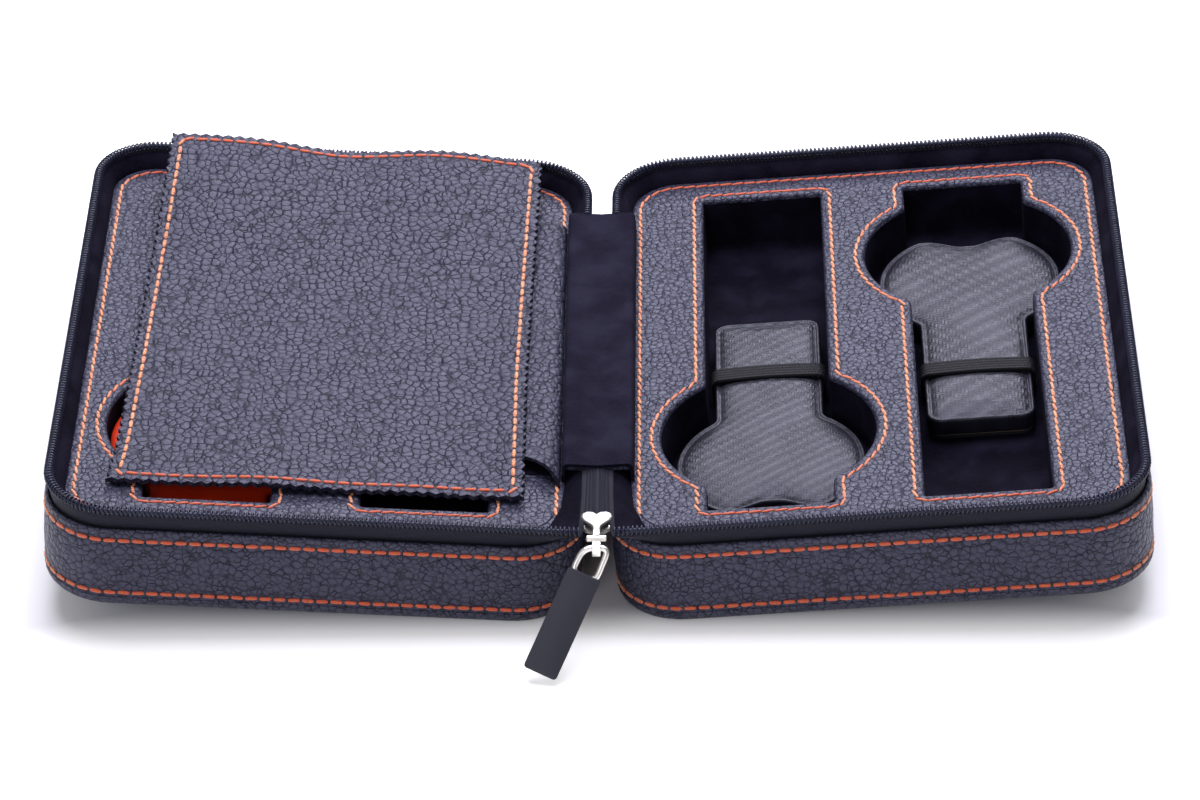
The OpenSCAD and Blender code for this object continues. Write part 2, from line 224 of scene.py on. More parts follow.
class Nodes:
    def __init__(self, tree):
        self.tree = tree

    def add(self, kind, settings=None, inputs=None):
        node = self.tree.nodes.new(kind)
        for key, value in (settings or {}).items():
            setattr(node, key, value)
        for key, value in (inputs or {}).items():
            self.feed(node.inputs[key], value)
        return node

    def feed(self, socket, value):
        if isinstance(value, Value):
            value = value.socket
        if isinstance(value, bpy.types.Node):
            value = value.outputs[0]
        if isinstance(value, bpy.types.NodeSocket):
            self.tree.links.new(value, socket)
        else:
            socket.default_value = value

    def value(self, kind, settings=None, inputs=None):
        return Value(self, self.add(kind, settings, inputs).outputs[0])

    def split(self, vector):
        axes = self.add("ShaderNodeSeparateXYZ", {}, {0: vector})
        return [Value(self, axis) for axis in axes.outputs]


class Finish(Nodes):  # a material under way
    def __init__(self, name, **constants):
        self.material = bpy.data.materials.new(name)
        self.material.use_nodes = True
        super().__init__(self.material.node_tree)
        self.shader = self.tree.nodes["Principled BSDF"]
        for key, value in constants.items():
            self.shader.inputs[key].default_value = value

    def millimetres(self):
        coords = self.add("ShaderNodeTexCoord")
        scaled = self.add("ShaderNodeVectorMath", {"operation": "SCALE"},
                          {0: coords.outputs["Object"], "Scale": 1 / mm})
        return scaled.outputs[0]

    def noise(self, coords, scale, detail=2.0, rough=0.5):
        return self.value("ShaderNodeTexNoise", {}, {
            "Vector": coords, "Scale": scale, "Detail": detail, "Roughness": rough})

    def cells(self, feature, coords, scale, scatter):
        return self.value("ShaderNodeTexVoronoi", {"feature": feature}, {
            "Vector": coords, "Scale": scale, "Randomness": scatter})

    def warped(self, coords, scale, amount):
        cloud = self.add("ShaderNodeTexNoise", {}, {"Vector": coords, "Scale": scale, "Detail": 2.0})
        centred = self.add("ShaderNodeVectorMath", {"operation": "SUBTRACT"},
                           {0: cloud.outputs["Color"], 1: (0.5, 0.5, 0.5)})
        moved = self.add("ShaderNodeVectorMath", {"operation": "MULTIPLY_ADD"},
                         {0: centred, 1: (amount, amount, amount), 2: coords})
        return moved.outputs[0]

    def step(self, value, low, high):
        return self.value("ShaderNodeMapRange", {"interpolation_type": "SMOOTHSTEP"}, {
            "Value": value, "From Min": low, "From Max": high})

    def mixed(self, factor, a, b):
        node = self.add("ShaderNodeMix", {"data_type": "RGBA"}, {0: factor, 6: a, 7: b})
        return node.outputs[2]

    def bump(self, height, depth, strength=1.0):
        node = self.add("ShaderNodeBump", {}, {
            "Height": height, "Distance": depth * mm, "Strength": strength})
        self.feed(self.shader.inputs["Normal"], node)

    def set(self, **links):
        for key, value in links.items():
            self.feed(self.shader.inputs[key.replace("_", " ")], value)


def shade(tone, share):  # a colour made darker or lighter
    return [min(1, c * share) for c in tone[:3]] + [1]


# leather: pebbles a few mm across with creases between them that fade here and there; the creases, the
# pebbles' corners and the fine wrinkles are painted dark as painted shade
leatherLook = {
    "pebble": 1.9, "scatter": 0.9, "waves": ((0.28, 0.9), (1.3, 0.36)), "depth": 0.42,
    "creaseWidth": 0.13, "creaseFade": (0.38, 0.6), "creaseLeft": 0.35,
    "corner": (0.6, 0.95), "cornerDepth": 0.35,
    "fineness": 1.9, "fineDepth": 0.15, "dome": 1.3, "carve": 0.45, "pore": 0.22,
    # the dark crease colour below is painted shade for the creases
    "top": (0.032, 0.033, 0.062), "crease": (0.003, 0.003, 0.01, 1), "roughness": 0.42,
}


def pebbledLeather(name, **changes):
    look = {**leatherLook, **changes}
    pebble, crease = look["pebble"], look["creaseWidth"]
    f = Finish(name, **{"Specular IOR Level": 0.5, "Specular Tint": (0.85, 0.85, 1.0, 1)})
    coords = f.millimetres()
    bent = coords
    for scale, reach in look["waves"]:
        bent = f.warped(bent, scale / pebble, reach * pebble)
    edge = f.cells("DISTANCE_TO_EDGE", bent, 1 / pebble, look["scatter"])
    away = f.cells("F1", bent, 1 / pebble, look["scatter"])
    fine = f.cells("DISTANCE_TO_EDGE", bent, look["fineness"] / pebble, look["scatter"])
    shallow = f.step(f.noise(coords, 0.8 / pebble, 3.0), *look["creaseFade"])
    fading = shallow * (1 - look["creaseLeft"]) + look["creaseLeft"]
    grooves = 1 - (1 - f.step(edge, 0.0, crease * 0.85)) * fading
    corners = 1 - f.step(away, *look["corner"]) * look["cornerDepth"]
    wrinkles = 1 - (1 - f.step(fine, 0.0, crease * 1.3)) * (1 - shallow) * look["fineDepth"]
    carved = grooves * corners * wrinkles
    pores = f.noise(coords, 4.0, 3.0)
    dome = 1 - away * away
    f.bump(carved * look["carve"] + dome * look["dome"] + pores * look["pore"], look["depth"])
    cloud = f.noise(coords, 0.03, 2.0)
    tone = f.mixed(cloud, shade(look["top"], 0.85), shade(look["top"], 1.18))
    # painted shade: the dark crease colour is mixed in along the creases, at the pebbles' corners and in the
    # fine wrinkles
    f.set(Base_Color=f.mixed(carved ** 1.3, look["crease"], tone),
          Roughness=look["roughness"] + 0.22 * (1 - carved) + 0.1 * (pores - 0.5))
    return f.material


def suede(name, tone, brushed):
    f = Finish(name, **{"Specular IOR Level": 0.06, "Sheen Weight": 0.01, "Sheen Roughness": 0.4,
                        "Sheen Tint": (0.5, 0.45, 0.8, 1)})
    coords = f.millimetres()
    nap = f.noise(coords, 3.2, 5.0, 0.7)
    strokes = f.step(f.noise(f.warped(coords, 0.08, 8.0), 0.09, 3.0), 0.35, 0.7)
    tuft = f.step(f.noise(coords, 1.1, 4.0, 0.65), 0.3, 0.75)
    f.bump(nap * 0.5 + tuft * 0.5, 0.22, 0.8)
    dark = f.mixed(strokes, tone, brushed)
    f.set(Base_Color=f.mixed(tuft * 0.35, dark, brushed), Roughness=0.85 + 0.12 * nap)
    return f.material


def twillLeather(name, tow, band, depth):  # a fine pressed weave that shows in slanting bands
    f = Finish(name, **{"Specular IOR Level": 0.43, "Specular Tint": (0.86, 0.85, 1.0, 1)})
    dark, light = (0.006, 0.006, 0.01, 1), (0.014, 0.014, 0.022, 1)
    coords = f.millimetres()
    x, y = (axis / tow for axis in f.split(f.warped(coords, 0.05, 0.8))[:2])
    parity = (x.math("FLOOR") + y.math("FLOOR")).math("FLOORED_MODULO", 4.0)
    over = parity.math("LESS_THAN", 1.5)
    across = (x.math("FRACT") - 0.5).math("ABSOLUTE") * 2
    along = (y.math("FRACT") - 0.5).math("ABSOLUTE") * 2
    crown = (1 - across ** 2.0) * over + (1 - along ** 2.0) * (1 - over)
    slant = ((x * 0.6 - y * 0.8) * (2 * math.pi * tow / band)).math("SINE") * 0.5 + 0.5
    shown = f.step(f.noise(coords, 0.07, 2.0), 0.35, 0.65) * 0.6 + 0.4
    grain = f.noise(coords, 3.0, 4.0)
    f.bump(crown * shown * 0.5 + slant * 0.5 + grain * 0.25, depth)
    # the slanting bands and the crowns of the tows are mixed lighter: the weave's pattern, partly a painted
    # sheen on the bands and a painted highlight on the crowns
    f.set(Base_Color=f.mixed(slant * 0.7 + crown * 0.3, dark, light),
          Roughness=0.4 - 0.1 * slant + 0.16 * grain)
    return f.material


def threadFinish(name, tone, light, depth=0.12):  # painted highlight: paler on the twist's raised parts, most where a run goes from front to back
    f = Finish(name, **{"Specular IOR Level": 0.4, "Sheen Weight": 0.2})
    coords = f.millimetres()
    twist = f.noise(f.warped(coords, 0.7, 0.6), 2.6, 3.0)
    lengthwise = Value(f, f.add("ShaderNodeAttribute", {"attribute_name": "lengthwise"}).outputs["Fac"])
    f.bump(twist, depth)
    # painted highlight: the pale thread colour is mixed onto the twist's raised parts, strongest on runs from
    # front to back, standing in for the thread's sheen
    paintedSheen = f.step(twist, 0.38, 0.58) * (lengthwise ** 3.0 * 0.85 + 0.15)
    f.set(Base_Color=f.mixed(paintedSheen, tone, light), Roughness=0.45 + 0.25 * twist)
    return f.material


def wovenFinish(name, tone, light, thread, roughness, sheen):
    f = Finish(name, **{"Specular IOR Level": 0.3, "Sheen Weight": sheen})
    coords = f.millimetres()
    x, y, z = (axis * (math.pi / thread) for axis in f.split(coords))
    weave = (x + z).math("SINE") * (y + z * 0.5).math("SINE")
    fibre = f.noise(coords, 4.5, 3.0)
    f.bump(weave * 0.4 + fibre * 0.5, 0.1)
    f.set(Base_Color=f.mixed(f.step(weave + fibre, 0.2, 1.3), tone, light),
          Roughness=roughness + 0.15 * fibre)
    return f.material


def metalFinish(name, tone, roughness):
    f = Finish(name, **{"Metallic": 1.0})
    coords = f.millimetres()
    cloud = f.noise(coords, 0.6, 4.0)
    scratches = f.noise(f.warped(coords, 0.4, 3.0), 7.0, 5.0, 0.7)
    f.bump(scratches, 0.015, 0.5)
    f.set(Base_Color=f.mixed(cloud, shade(tone, 0.9), shade(tone, 1)), Roughness=roughness + 0.15 * scratches)
    return f.material


def plainFinish(name, tone, roughness, grainSize, depth, spread=0.25):
    f = Finish(name, **{"Specular IOR Level": 0.4})
    coords = f.millimetres()
    grain = f.noise(coords, 1 / grainSize, 4.0, 0.6)
    cloud = f.noise(coords, 0.08, 2.0)
    f.bump(grain, depth)
    mottle = f.step(cloud * 0.6 + grain * 0.4, 0.3, 0.7)
    f.set(Base_Color=f.mixed(mottle, shade(tone, 1 - spread), shade(tone, 1 + spread)),
          Roughness=roughness + 0.14 * (grain - 0.5))
    return f.material


outerLeather = pebbledLeather("pebbledLeather")
# the flap's leather is a slightly darker copy of the walls' leather: painted shade that tones the flap down
flapLeather = pebbledLeather("flapLeather", pebble=2.3, roughness=0.46, top=(0.029, 0.029, 0.056))
# the deck's painted crease shade is a little lighter than the walls'
deckLeather = pebbledLeather("deckLeather", pebble=1.8, depth=0.3, crease=(0.005, 0.005, 0.014, 1))
# the linings' suede is a much darker copy of the strip's suede: painted shade for the pockets' insides, the
# tape's inside, the flap's underside and the sheet under the strap
innerSuede = suede("innerSuede", (0.0025, 0.0022, 0.006, 1), (0.011, 0.009, 0.02, 1))
stripSuede = suede("stripSuede", (0.008, 0.007, 0.016, 1), (0.02, 0.018, 0.034, 1))
wideTwill = twillLeather("wideTwillLeather", 1.0, 5.2, 0.16)
fineTwill = twillLeather("fineTwillLeather", 0.75, 3.4, 0.13)
orangeLeather = plainFinish("orangeLeather", (0.78, 0.04, 0.006), 0.42, 0.5, 0.08)
# the second colour is the thread's painted highlight
orangeThread = threadFinish("orangeThread", (0.66, 0.085, 0.025, 1), (0.93, 0.5, 0.25, 1))
tapeCloth = wovenFinish("tapeCloth", (0.004, 0.004, 0.011, 1), (0.011, 0.011, 0.024, 1), 0.5, 0.7, 0.05)
elasticCloth = wovenFinish("elasticCloth", (0.002, 0.002, 0.004, 1), (0.008, 0.008, 0.012, 1),
                           0.45, 0.6, 0.02)
coilNylon = plainFinish("coilNylon", (0.02, 0.023, 0.05), 0.34, 0.4, 0.03)
chainCloth = wovenFinish("chainCloth", (0.004, 0.004, 0.012, 1), (0.011, 0.012, 0.028, 1), 0.5, 0.65, 0.02)
brightMetal = metalFinish("brightMetal", (0.97, 0.94, 0.87), 0.3)
tabRubber = plainFinish("tabRubber", (0.03, 0.03, 0.042), 0.55, 0.25, 0.04, 0.15)
goldEdge = plainFinish("goldEdge", (0.2, 0.16, 0.09), 0.5, 0.3, 0.03)
fibreBlack = plainFinish("blackBoard", (0.012, 0.012, 0.016), 0.55, 0.4, 0.05)
fibreBoard = plainFinish("fibreBoard", (0.3, 0.22, 0.14), 0.85, 0.6, 0.12)
trayFoam = plainFinish("trayFoam", (0.03, 0.03, 0.035), 0.9, 0.5, 0.1)
print("finishes made:", len(bpy.data.materials))


# camera: where the photograph was taken from, in mm from the front of the spine's middle
shot = {
    "position": (26.9, -1130.4, 838.1), "pitch": 34.06, "yaw": 1.275, "roll": -1.296,
    "focalPixels": 5247, "pixelsAcross": 1200, "sensor": 36, "reach": 20,
}


def makeCamera():
    camera = bpy.data.objects.new("camera", bpy.data.cameras.new("camera"))
    camera.data.sensor_width = shot["sensor"]
    camera.data.lens = shot["focalPixels"] * shot["sensor"] / shot["pixelsAcross"]
    camera.data.clip_end = shot["reach"]
    pitch, yaw, roll = (math.radians(shot[k]) for k in ("pitch", "yaw", "roll"))
    forward = Vector((0, math.cos(pitch), -math.sin(pitch)))
    up = Vector((0, math.sin(pitch), math.cos(pitch)))
    across = Vector((1, 0, 0))
    x = across * math.cos(roll) + up * math.sin(roll)
    y = up * math.cos(roll) - across * math.sin(roll)
    turn = Matrix((x, y, -forward)).transposed()
    camera.matrix_world = (Matrix.Rotation(yaw, 3, "Z") @ turn).to_4x4()
    px, py, pz = shot["position"]
    camera.location = Vector((px, py + frontY, pz)) * mm
    bpy.context.collection.objects.link(camera)
    bpy.context.scene.camera = camera


# floor: it takes the shadow near the case and glows white further off
ground = {
    "half": 6, "tone": (0.86, 0.86, 0.87, 1), "roughness": 0.7, "glow": 0.55,
    "frontFade": (-11, 9), "sideFade": (120, 200), "backFade": 20,
}


def makeFloor():
    w, far = ground["half"], frontY + case["depth"]
    floor = makeObject("floor", [(-w, -w, 0), (w, -w, 0), (w, w, 0), (-w, w, 0)], [(0, 1, 2, 3)])
    f = Finish("paleFloor", **{"Base Color": ground["tone"], "Roughness": ground["roughness"],
                               "Emission Color": (1, 1, 1, 1)})
    rays = f.add("ShaderNodeLightPath")
    seen = [Value(f, rays.outputs[n]) for n in ("Is Camera Ray", "Is Glossy Ray", "Is Transmission Ray")]
    x, y, _ = f.split(f.millimetres())
    clear = f.step(y * -1, *(d - frontY for d in ground["frontFade"]))
    clear = clear.math("MAXIMUM", f.step(x.math("ABSOLUTE"), *ground["sideFade"]))
    clear = clear.math("MAXIMUM", f.step(y, far - ground["backFade"], far))
    glow = seen[0].math("MAXIMUM", seen[1]).math("MAXIMUM", seen[2]) * clear
    f.set(Emission_Strength=glow * ground["glow"])
    floor.data.materials.append(f.material)


lamps = {  # where each lamp is, where it aims, its size and its power
    "topLamp": ((0, 0.3, 1.1), (0, 0, 0), (0.9, 0.6), 15),
    "backLamp": ((0.15, 1.3, 0.85), (0, 0, 0.02), (1.2, 0.4), 16),
    "frontLamp": ((-0.6, -1.5, 0.9), (0, 0, 0.02), (1.2, 0.8), 8),
}
room = {"lampTint": (0.88, 0.87, 1.0), "light": 0.22, "backdrop": 0.8}


def makeLight():
    for name, (where, aim, size, power) in lamps.items():
        lamp = bpy.data.objects.new(name, bpy.data.lights.new(name, "AREA"))
        lamp.data.shape = "RECTANGLE"
        lamp.data.size, lamp.data.size_y = size
        lamp.data.energy = power
        lamp.data.color = room["lampTint"]
        lamp.location = where
        lamp.rotation_euler = (Vector(aim) - Vector(where)).to_track_quat("-Z", "Y").to_euler()
        bpy.context.collection.objects.link(lamp)
    world = bpy.data.worlds.new("room")
    bpy.context.scene.world = world
    world.use_nodes = True
    nodes = Nodes(world.node_tree)
    air = world.node_tree.nodes["Background"]
    air.inputs["Color"].default_value = (1, 1, 1, 1)
    seen = Value(nodes, nodes.add("ShaderNodeLightPath").outputs["Is Camera Ray"])
    nodes.feed(air.inputs["Strength"], seen * room["backdrop"] + room["light"])
    bpy.context.scene.view_settings.view_transform = "Standard"


makeCamera()
makeFloor()
makeLight()
print("camera, floor and lamps set")


def outlineLoop(inset, count=12):  # the half's plan outline, drawn in by an inset
    corner = case["cornerRadius"]
    low, high = case["spineGap"] + corner, case["spineGap"] + case["halfWidth"] - corner
    front, back = corner, case["depth"] - corner
    corners = [(high, front, -90), (high, back, 0), (low, back, 90), (low, front, 180)]
    pieces = []
    for k, (x, y, start) in enumerate(corners):
        bend = arc(x, y, corner - inset, start, start + 90, count)
        nx, ny, nstart = corners[(k + 1) % 4]
        after = arc(nx, ny, corner - inset, nstart, nstart, 1)[0]
        pieces += [bend, between(bend[-1], after, (0.1, 0.3, 0.5, 0.7, 0.9))]
    return np.vstack(pieces)


# wall and base: profiles as pairs of inset and height, swept round the half
wall = {
    "foot": 3.2, "thickness": 1.15, "topStitch": 22.0, "footStitch": 5.0, "dent": 0.28, "groove": 0.8,
    "stitchSunk": 0.12, "stitchSizes": {"Width": 1.3 * mm},
    "heel": ((0.5, 0.05), (0.12, 0.35)), "swell": ((-0.12, 9.0), (-0.2, 13.5), (-0.1, 18.0)),
    "lip": ((0.0, -1.2), (0.1, -0.5), (0.38, -0.12), (0.7, 0)), "inside": 14, "wobble": 0.16,
}
base = {"round": 3.0, "step": 15, "edge": ((0.05, 0.25), (0.35, 0.5), (1.15, 0.3)), "inner": (1.2, 1.45)}


def grooved(height):  # the pull of a seam on the wall
    d, w = wall["dent"], wall["groove"]
    return [(0.02, height - w), (d, height - w * 0.35), (d, height + w * 0.35), (0.02, height + w)]


def makeWall(side):
    w, top, t = wall, case["wallTop"], wall["thickness"]
    profile = raised(w["heel"], w["foot"]) + grooved(w["footStitch"]) + list(w["swell"])
    profile += grooved(w["topStitch"]) + raised(w["lip"], top)
    profile += [(t, top - 0.15), (t, w["inside"]), (t, w["foot"] + 0.1)]
    middle = np.array([case["spineGap"] + case["halfWidth"] / 2, case["depth"] / 2])
    rings = []
    for inset, height in profile:
        ring = flat(outlineLoop(inset), height)
        for p in ring:
            n = wander(p[0] * 0.035, p[1] * 0.035, height * 0.05 + side * 9)
            inwards = np.array(Vector(middle - p[:2]).normalized())
            p[:2] += inwards * w["wobble"] * (n + 0.5)
        rings.append(ring)
    faces = bridge(len(rings[0]), len(rings), closedStack=True)
    obj = makeObject(sideName[side] + "WallLeather", place(side, np.vstack(rings)), faces, flip=side == left)
    finishMesh(obj, outerLeather, halfBody[side], [sideName[side] + "_wall_cover"])


def makeBase(side):
    r = base["round"]
    turns = [math.radians(a) for a in range(0, 91, base["step"])]
    profile = [(r - r * math.sin(a), r - r * math.cos(a)) for a in turns]
    profile += raised(base["edge"], wall["foot"]) + [base["inner"]]
    rings = [flat(outlineLoop(i), h) for i, h in profile]
    obj = makeObject(sideName[side] + "BaseLeather", place(side, np.vstack(rings)),
                     capped(len(rings[0]), len(rings)), flip=side == left)
    covered = [sideName[side] + "_base_cover"]
    finishMesh(obj, outerLeather, halfBody[side], covered, angle=40)


# pockets: keyholes with suede walls, two to a half
pocket = {
    "inner": 43.2, "outer": 101.6, "radius": 30.0, "slotWidth": 35.3, "slotEnd": 15.6, "roundEnd": 51.7,
    "flare": 2.5, "corner": 1.3, "suede": 0.6, "stitchOut": 2.1, "grid": 2.6, "ripple": 0.12,
    "lowWall": ((-1.2, 0.02), (-0.45, 0.12), (-0.08, 0.5), (0, 1.6), (0.05, 7.5)),
    "highWall": ((0, -1.0), (0.12, 0)), "outside": -0.03, "under": 0.55,
}


def mirrored(half, start):  # a loop made of one side and its mirror image, begun at another point
    return np.roll(np.vstack([half, half[::-1] * (-1, 1)]), start, axis=0)


def pocketLoop(grow):  # a keyhole, its round part at the origin and its long slot towards +y
    a, r = pocket["slotWidth"] / 2 + grow, pocket["radius"] + grow
    f, c = pocket["flare"] - grow, max(pocket["corner"] + grow, 0.3)
    near = pocket["roundEnd"] - pocket["slotEnd"] + grow
    far = case["depth"] - pocket["roundEnd"] - pocket["slotEnd"] + grow
    reach = math.sqrt((r + f) ** 2 - (a + f) ** 2)
    turn = math.degrees(math.atan2(reach, a + f))
    half = np.vstack([
        arc(c - a, far - c, c, 90, 180, 5), between((-a, far), (-a, reach), (0.25, 0.5, 0.75)),
        arc(-a - f, reach, f, 0, -turn, 5)[:-1], arc(0, 0, r, 180 - turn, 180 + turn, 19),
        arc(-a - f, -reach, f, turn, 0, 5)[1:], arc(c - a, c - near, c, 180, 270, 5)])
    return mirrored(half, 5)


def column(side, which):  # a pocket's centre, and +1 where its slot runs back
    front = (side == right) == (which == "inner")
    v = pocket["roundEnd"] if front else case["depth"] - pocket["roundEnd"]
    return case["spineGap"] + pocket[which], v, 1 if front else -1


def inColumn(side, which, loop, shift=0.0):
    u, v, d = column(side, which)
    loop = np.asarray(loop, float)
    return np.column_stack([u + d * loop[:, 0], v + d * loop[:, 1] - shift])


def gridInside(loop, spacing, margin):  # points well inside a plan loop
    loop = np.asarray(loop)[:, :2]
    low, high = loop.min(0), loop.max(0)
    found = []
    for i, x in enumerate(np.arange(low[0] + margin, high[0], spacing)):
        for y in np.arange(low[1] + margin, high[1], spacing) + (spacing / 2 if i % 2 else 0):
            p = np.array([x, y])
            if np.min(np.sum((loop - p) ** 2, 1)) > margin * margin and insideLoop(p, loop):
                found.append(p)
    return np.array(found)


def edgeDistance(points, loop):
    loop = np.asarray(loop)[:, :2]
    return np.sqrt(((points[:, None, :] - loop[None]) ** 2).sum(2).min(1))


def makePocket(side, which):
    p, s, floor, top = pocket, pocket["suede"], case["floor"], case["deckTop"] - case["deckThick"]
    walls = [(g - s, h) for g, h in raised(p["lowWall"], floor) + raised(p["highWall"], top)]
    walls += [(p["outside"], top), (p["outside"], floor - p["under"])]
    loops = [flat(inColumn(side, which, pocketLoop(g)), h) for g, h in walls]
    count = len(loops[0])
    inside = gridInside(loops[0], p["grid"], p["grid"] / 2)
    offset = (len(loops) - 1) * count
    ripple = np.array([p["ripple"] * wander(q[0] * 0.13, q[1] * 0.13, 3.0) for q in inside])
    points = np.vstack(loops + [np.column_stack([inside, floor + ripple])])
    faces = [tuple(reversed(f)) for f in bridge(count, len(loops))]
    faces += [tuple(i if i < count else i + offset for i in t) for t in fillPlan([loops[0]], inside)]
    faces += [tuple(offset + i for i in reversed(t)) for t in fillPlan([loops[-1]])]
    name = sideName[side] + which.capitalize() + "Pocket"
    obj = makeObject(name, place(side, points), faces, flip=side == left)
    node = [sideName[side] + "_pocket_lining"] if which == "inner" else []
    finishMesh(obj, innerSuede, halfBody[side], node, angle=45)


# deck: one skin with a rim, a lip round each pocket and a dent under each seam
deck = {
    "rim": ((0.02, -1.3), (0.02, -0.5), (0.15, -0.15), (0.5, 0)),
    "lip": ((-0.55, -1.3), (-0.5, -0.9), (-0.3, -0.45), (0.1, -0.1), (0.6, 0.02)),
    "seamInset": 2.3, "dent": 0.24, "dentHalf": 0.35, "rimDent": 0.2, "lipDent": 0.15,
    "seamOpen": (20, 16),
    "stitchSizes": {"Pitch": 3.5 * mm, "Length": 3.5 * mm, "Width": 0.9 * mm, "Height": 0.65 * mm,
                    "Slant": 0.16},
}


def dented(at, half, rise):  # a seam's dent in the deck
    w = deck["dentHalf"]
    return [(at - w, rise), (at - half, -deck["dent"]), (at + half, -deck["dent"]), (at + w, 0.03)]


def makeDeck(side):
    rim = raised(list(deck["rim"]) + dented(deck["seamInset"], deck["rimDent"], 0.02), case["deckTop"])
    lip = raised(list(deck["lip"]) + dented(pocket["stitchOut"], deck["lipDent"], 0.03), case["deckTop"])
    points, faces, innerLoops, lowLoops = [], [], [], []

    def stack(loops, inward):
        start = sum(len(p) for p in points)
        count = len(loops[0])
        points.extend(loops)
        for f in bridge(count, len(loops)):
            f = tuple(i + start for i in f)
            faces.append(f if inward else tuple(reversed(f)))
        lowLoops.append((start, loops[0]))
        innerLoops.append((start + (len(loops) - 1) * count, loops[-1]))

    stack([flat(outlineLoop(case["deckInset"] + i), h) for i, h in rim], True)
    for which in ("inner", "outer"):
        stack([flat(inColumn(side, which, pocketLoop(g)), h) for g, h in lip], False)
    for loops, upward in ((innerLoops, True), (lowLoops, False)):
        index = np.concatenate([np.arange(start, start + len(loop)) for start, loop in loops])
        for t in fillPlan([loop for _, loop in loops]):
            t = [int(index[i]) for i in t]
            faces.append(tuple(t if upward else reversed(t)))
    obj = makeObject(sideName[side] + "DeckLeather", place(side, np.vstack(points)), faces, flip=side == left)
    finishMesh(obj, deckLeather, halfBody[side], [sideName[side] + "_deck"], angle=50)


for side in (left, right):
    makeWall(side)
    makeBase(side)
    makeDeck(side)
    for which in ("inner", "outer"):
        makePocket(side, which)
print("shells, decks and pockets made")


def madePlain(obj, name):  # what an object's modifiers give, as a mesh of its own
    graph = bpy.context.evaluated_depsgraph_get()
    graph.update()
    mesh = bpy.data.meshes.new_from_object(obj.evaluated_get(graph), depsgraph=graph)
    mesh.name = name
    return mesh


class Maker(Nodes):  # a Geometry Nodes tree with named inputs, run once and made plain
    def __init__(self, name, sizes):
        tree = bpy.data.node_groups.new(name, "GeometryNodeTree")
        super().__init__(tree)
        tree.interface.new_socket("Geometry", in_out="INPUT", socket_type="NodeSocketGeometry")
        self.ids = {}
        kinds = {"Seed": "NodeSocketInt", "Shape": "NodeSocketObject", "Material": "NodeSocketMaterial"}
        for label in list(sizes) + ["Shape", "Material"]:
            kind = kinds.get(label, "NodeSocketFloat")
            socket = tree.interface.new_socket(label, in_out="INPUT", socket_type=kind)
            if label in sizes:
                socket.default_value = sizes[label]
            self.ids[label] = socket.identifier
        tree.interface.new_socket("Geometry", in_out="OUTPUT", socket_type="NodeSocketGeometry")
        self.start = self.add("NodeGroupInput")
        self.sizes = sizes

    def given(self, label):
        return self.start.outputs[label]

    def repeat(self, sway, axis):  # the given shape at even places along the path, facing along it
        curve = self.add("GeometryNodeMeshToCurve", {}, {"Mesh": self.given("Geometry")})
        even = self.add("GeometryNodeResampleCurve", {"mode": "LENGTH"},
                        {"Curve": curve, "Length": self.given("Pitch")})
        along = self.add("GeometryNodeInputTangent")
        up = self.add("GeometryNodeInputNamedAttribute", {"data_type": "FLOAT_VECTOR"}, {"Name": "up"})
        facing = self.add("FunctionNodeAlignEulerToVector", {"axis": "X"}, {"Vector": along})
        facing = self.add("FunctionNodeAlignEulerToVector", {"axis": "Z", "pivot_axis": "X"},
                          {"Rotation": facing, "Vector": up.outputs["Attribute"]})
        lengthwise = self.split(along)[1].math("ABSOLUTE")
        noted = self.add("GeometryNodeStoreNamedAttribute", {"data_type": "FLOAT", "domain": "POINT"},
                         {"Geometry": even, "Name": "lengthwise", "Value": lengthwise})
        random = self.add("FunctionNodeRandomValue", {"data_type": "FLOAT"},
                          {2: -sway, 3: sway, "Seed": self.given("Seed")})
        turn = Value(self, random.outputs[1]) + self.given("Slant")
        spin = self.add("ShaderNodeCombineXYZ", {}, {axis: turn})
        facing = self.add("FunctionNodeRotateEuler", {"space": "LOCAL"},
                          {"Rotation": facing, "Rotate By": spin})
        shape = self.add("GeometryNodeObjectInfo", {"transform_space": "ORIGINAL"},
                         {"Object": self.given("Shape")})
        scale = {"X": self.given("Length"), "Y": self.given("Width"), "Z": self.given("Height")}
        size = self.add("ShaderNodeCombineXYZ", {}, scale)
        put = self.add("GeometryNodeInstanceOnPoints", {}, {
            "Points": noted, "Instance": shape.outputs["Geometry"], "Rotation": facing, "Scale": size})
        done = self.add("GeometryNodeRealizeInstances", {}, {"Geometry": put})
        coated = self.add("GeometryNodeSetMaterial", {},
                          {"Geometry": done, "Material": self.given("Material")})
        self.feed(self.add("NodeGroupOutput").inputs[0], coated)

    def run(self, name, seed, **values):  # seed object's mesh goes in, a new plain object comes out
        modifier = seed.modifiers.new("maker", "NODES")
        modifier.node_group = self.tree
        for label, value in {**self.sizes, **values}.items():
            modifier[self.ids[label]] = value
        seed.update_tag()
        mesh = madePlain(seed, name)
        mesh.shade_smooth()
        obj = bpy.data.objects.new(name, mesh)
        bpy.context.collection.objects.link(obj)
        bpy.data.objects.remove(seed)
        return obj


def pathObject(paths):  # [(points in metres, up vectors, closed)] as a mesh of edges that carries "up"
    points, ups, edges = [], [], []
    for line, up, closed in paths:
        start = len(points)
        points += [tuple(p) for p in line]
        up = np.asarray(up, float)
        ups += [tuple(u) for u in (up if up.ndim == 2 else np.tile(up, (len(line), 1)))]
        edges += [(start + i, start + i + 1) for i in range(len(line) - 1)]
        if closed:
            edges.append((start + len(line) - 1, start))
    mesh = bpy.data.meshes.new("path")
    mesh.from_pydata(points, edges, [])
    mesh.attributes.new("up", "FLOAT_VECTOR", "POINT").data.foreach_set("vector", np.array(ups).ravel())
    obj = bpy.data.objects.new("path", mesh)
    bpy.context.collection.objects.link(obj)
    return obj


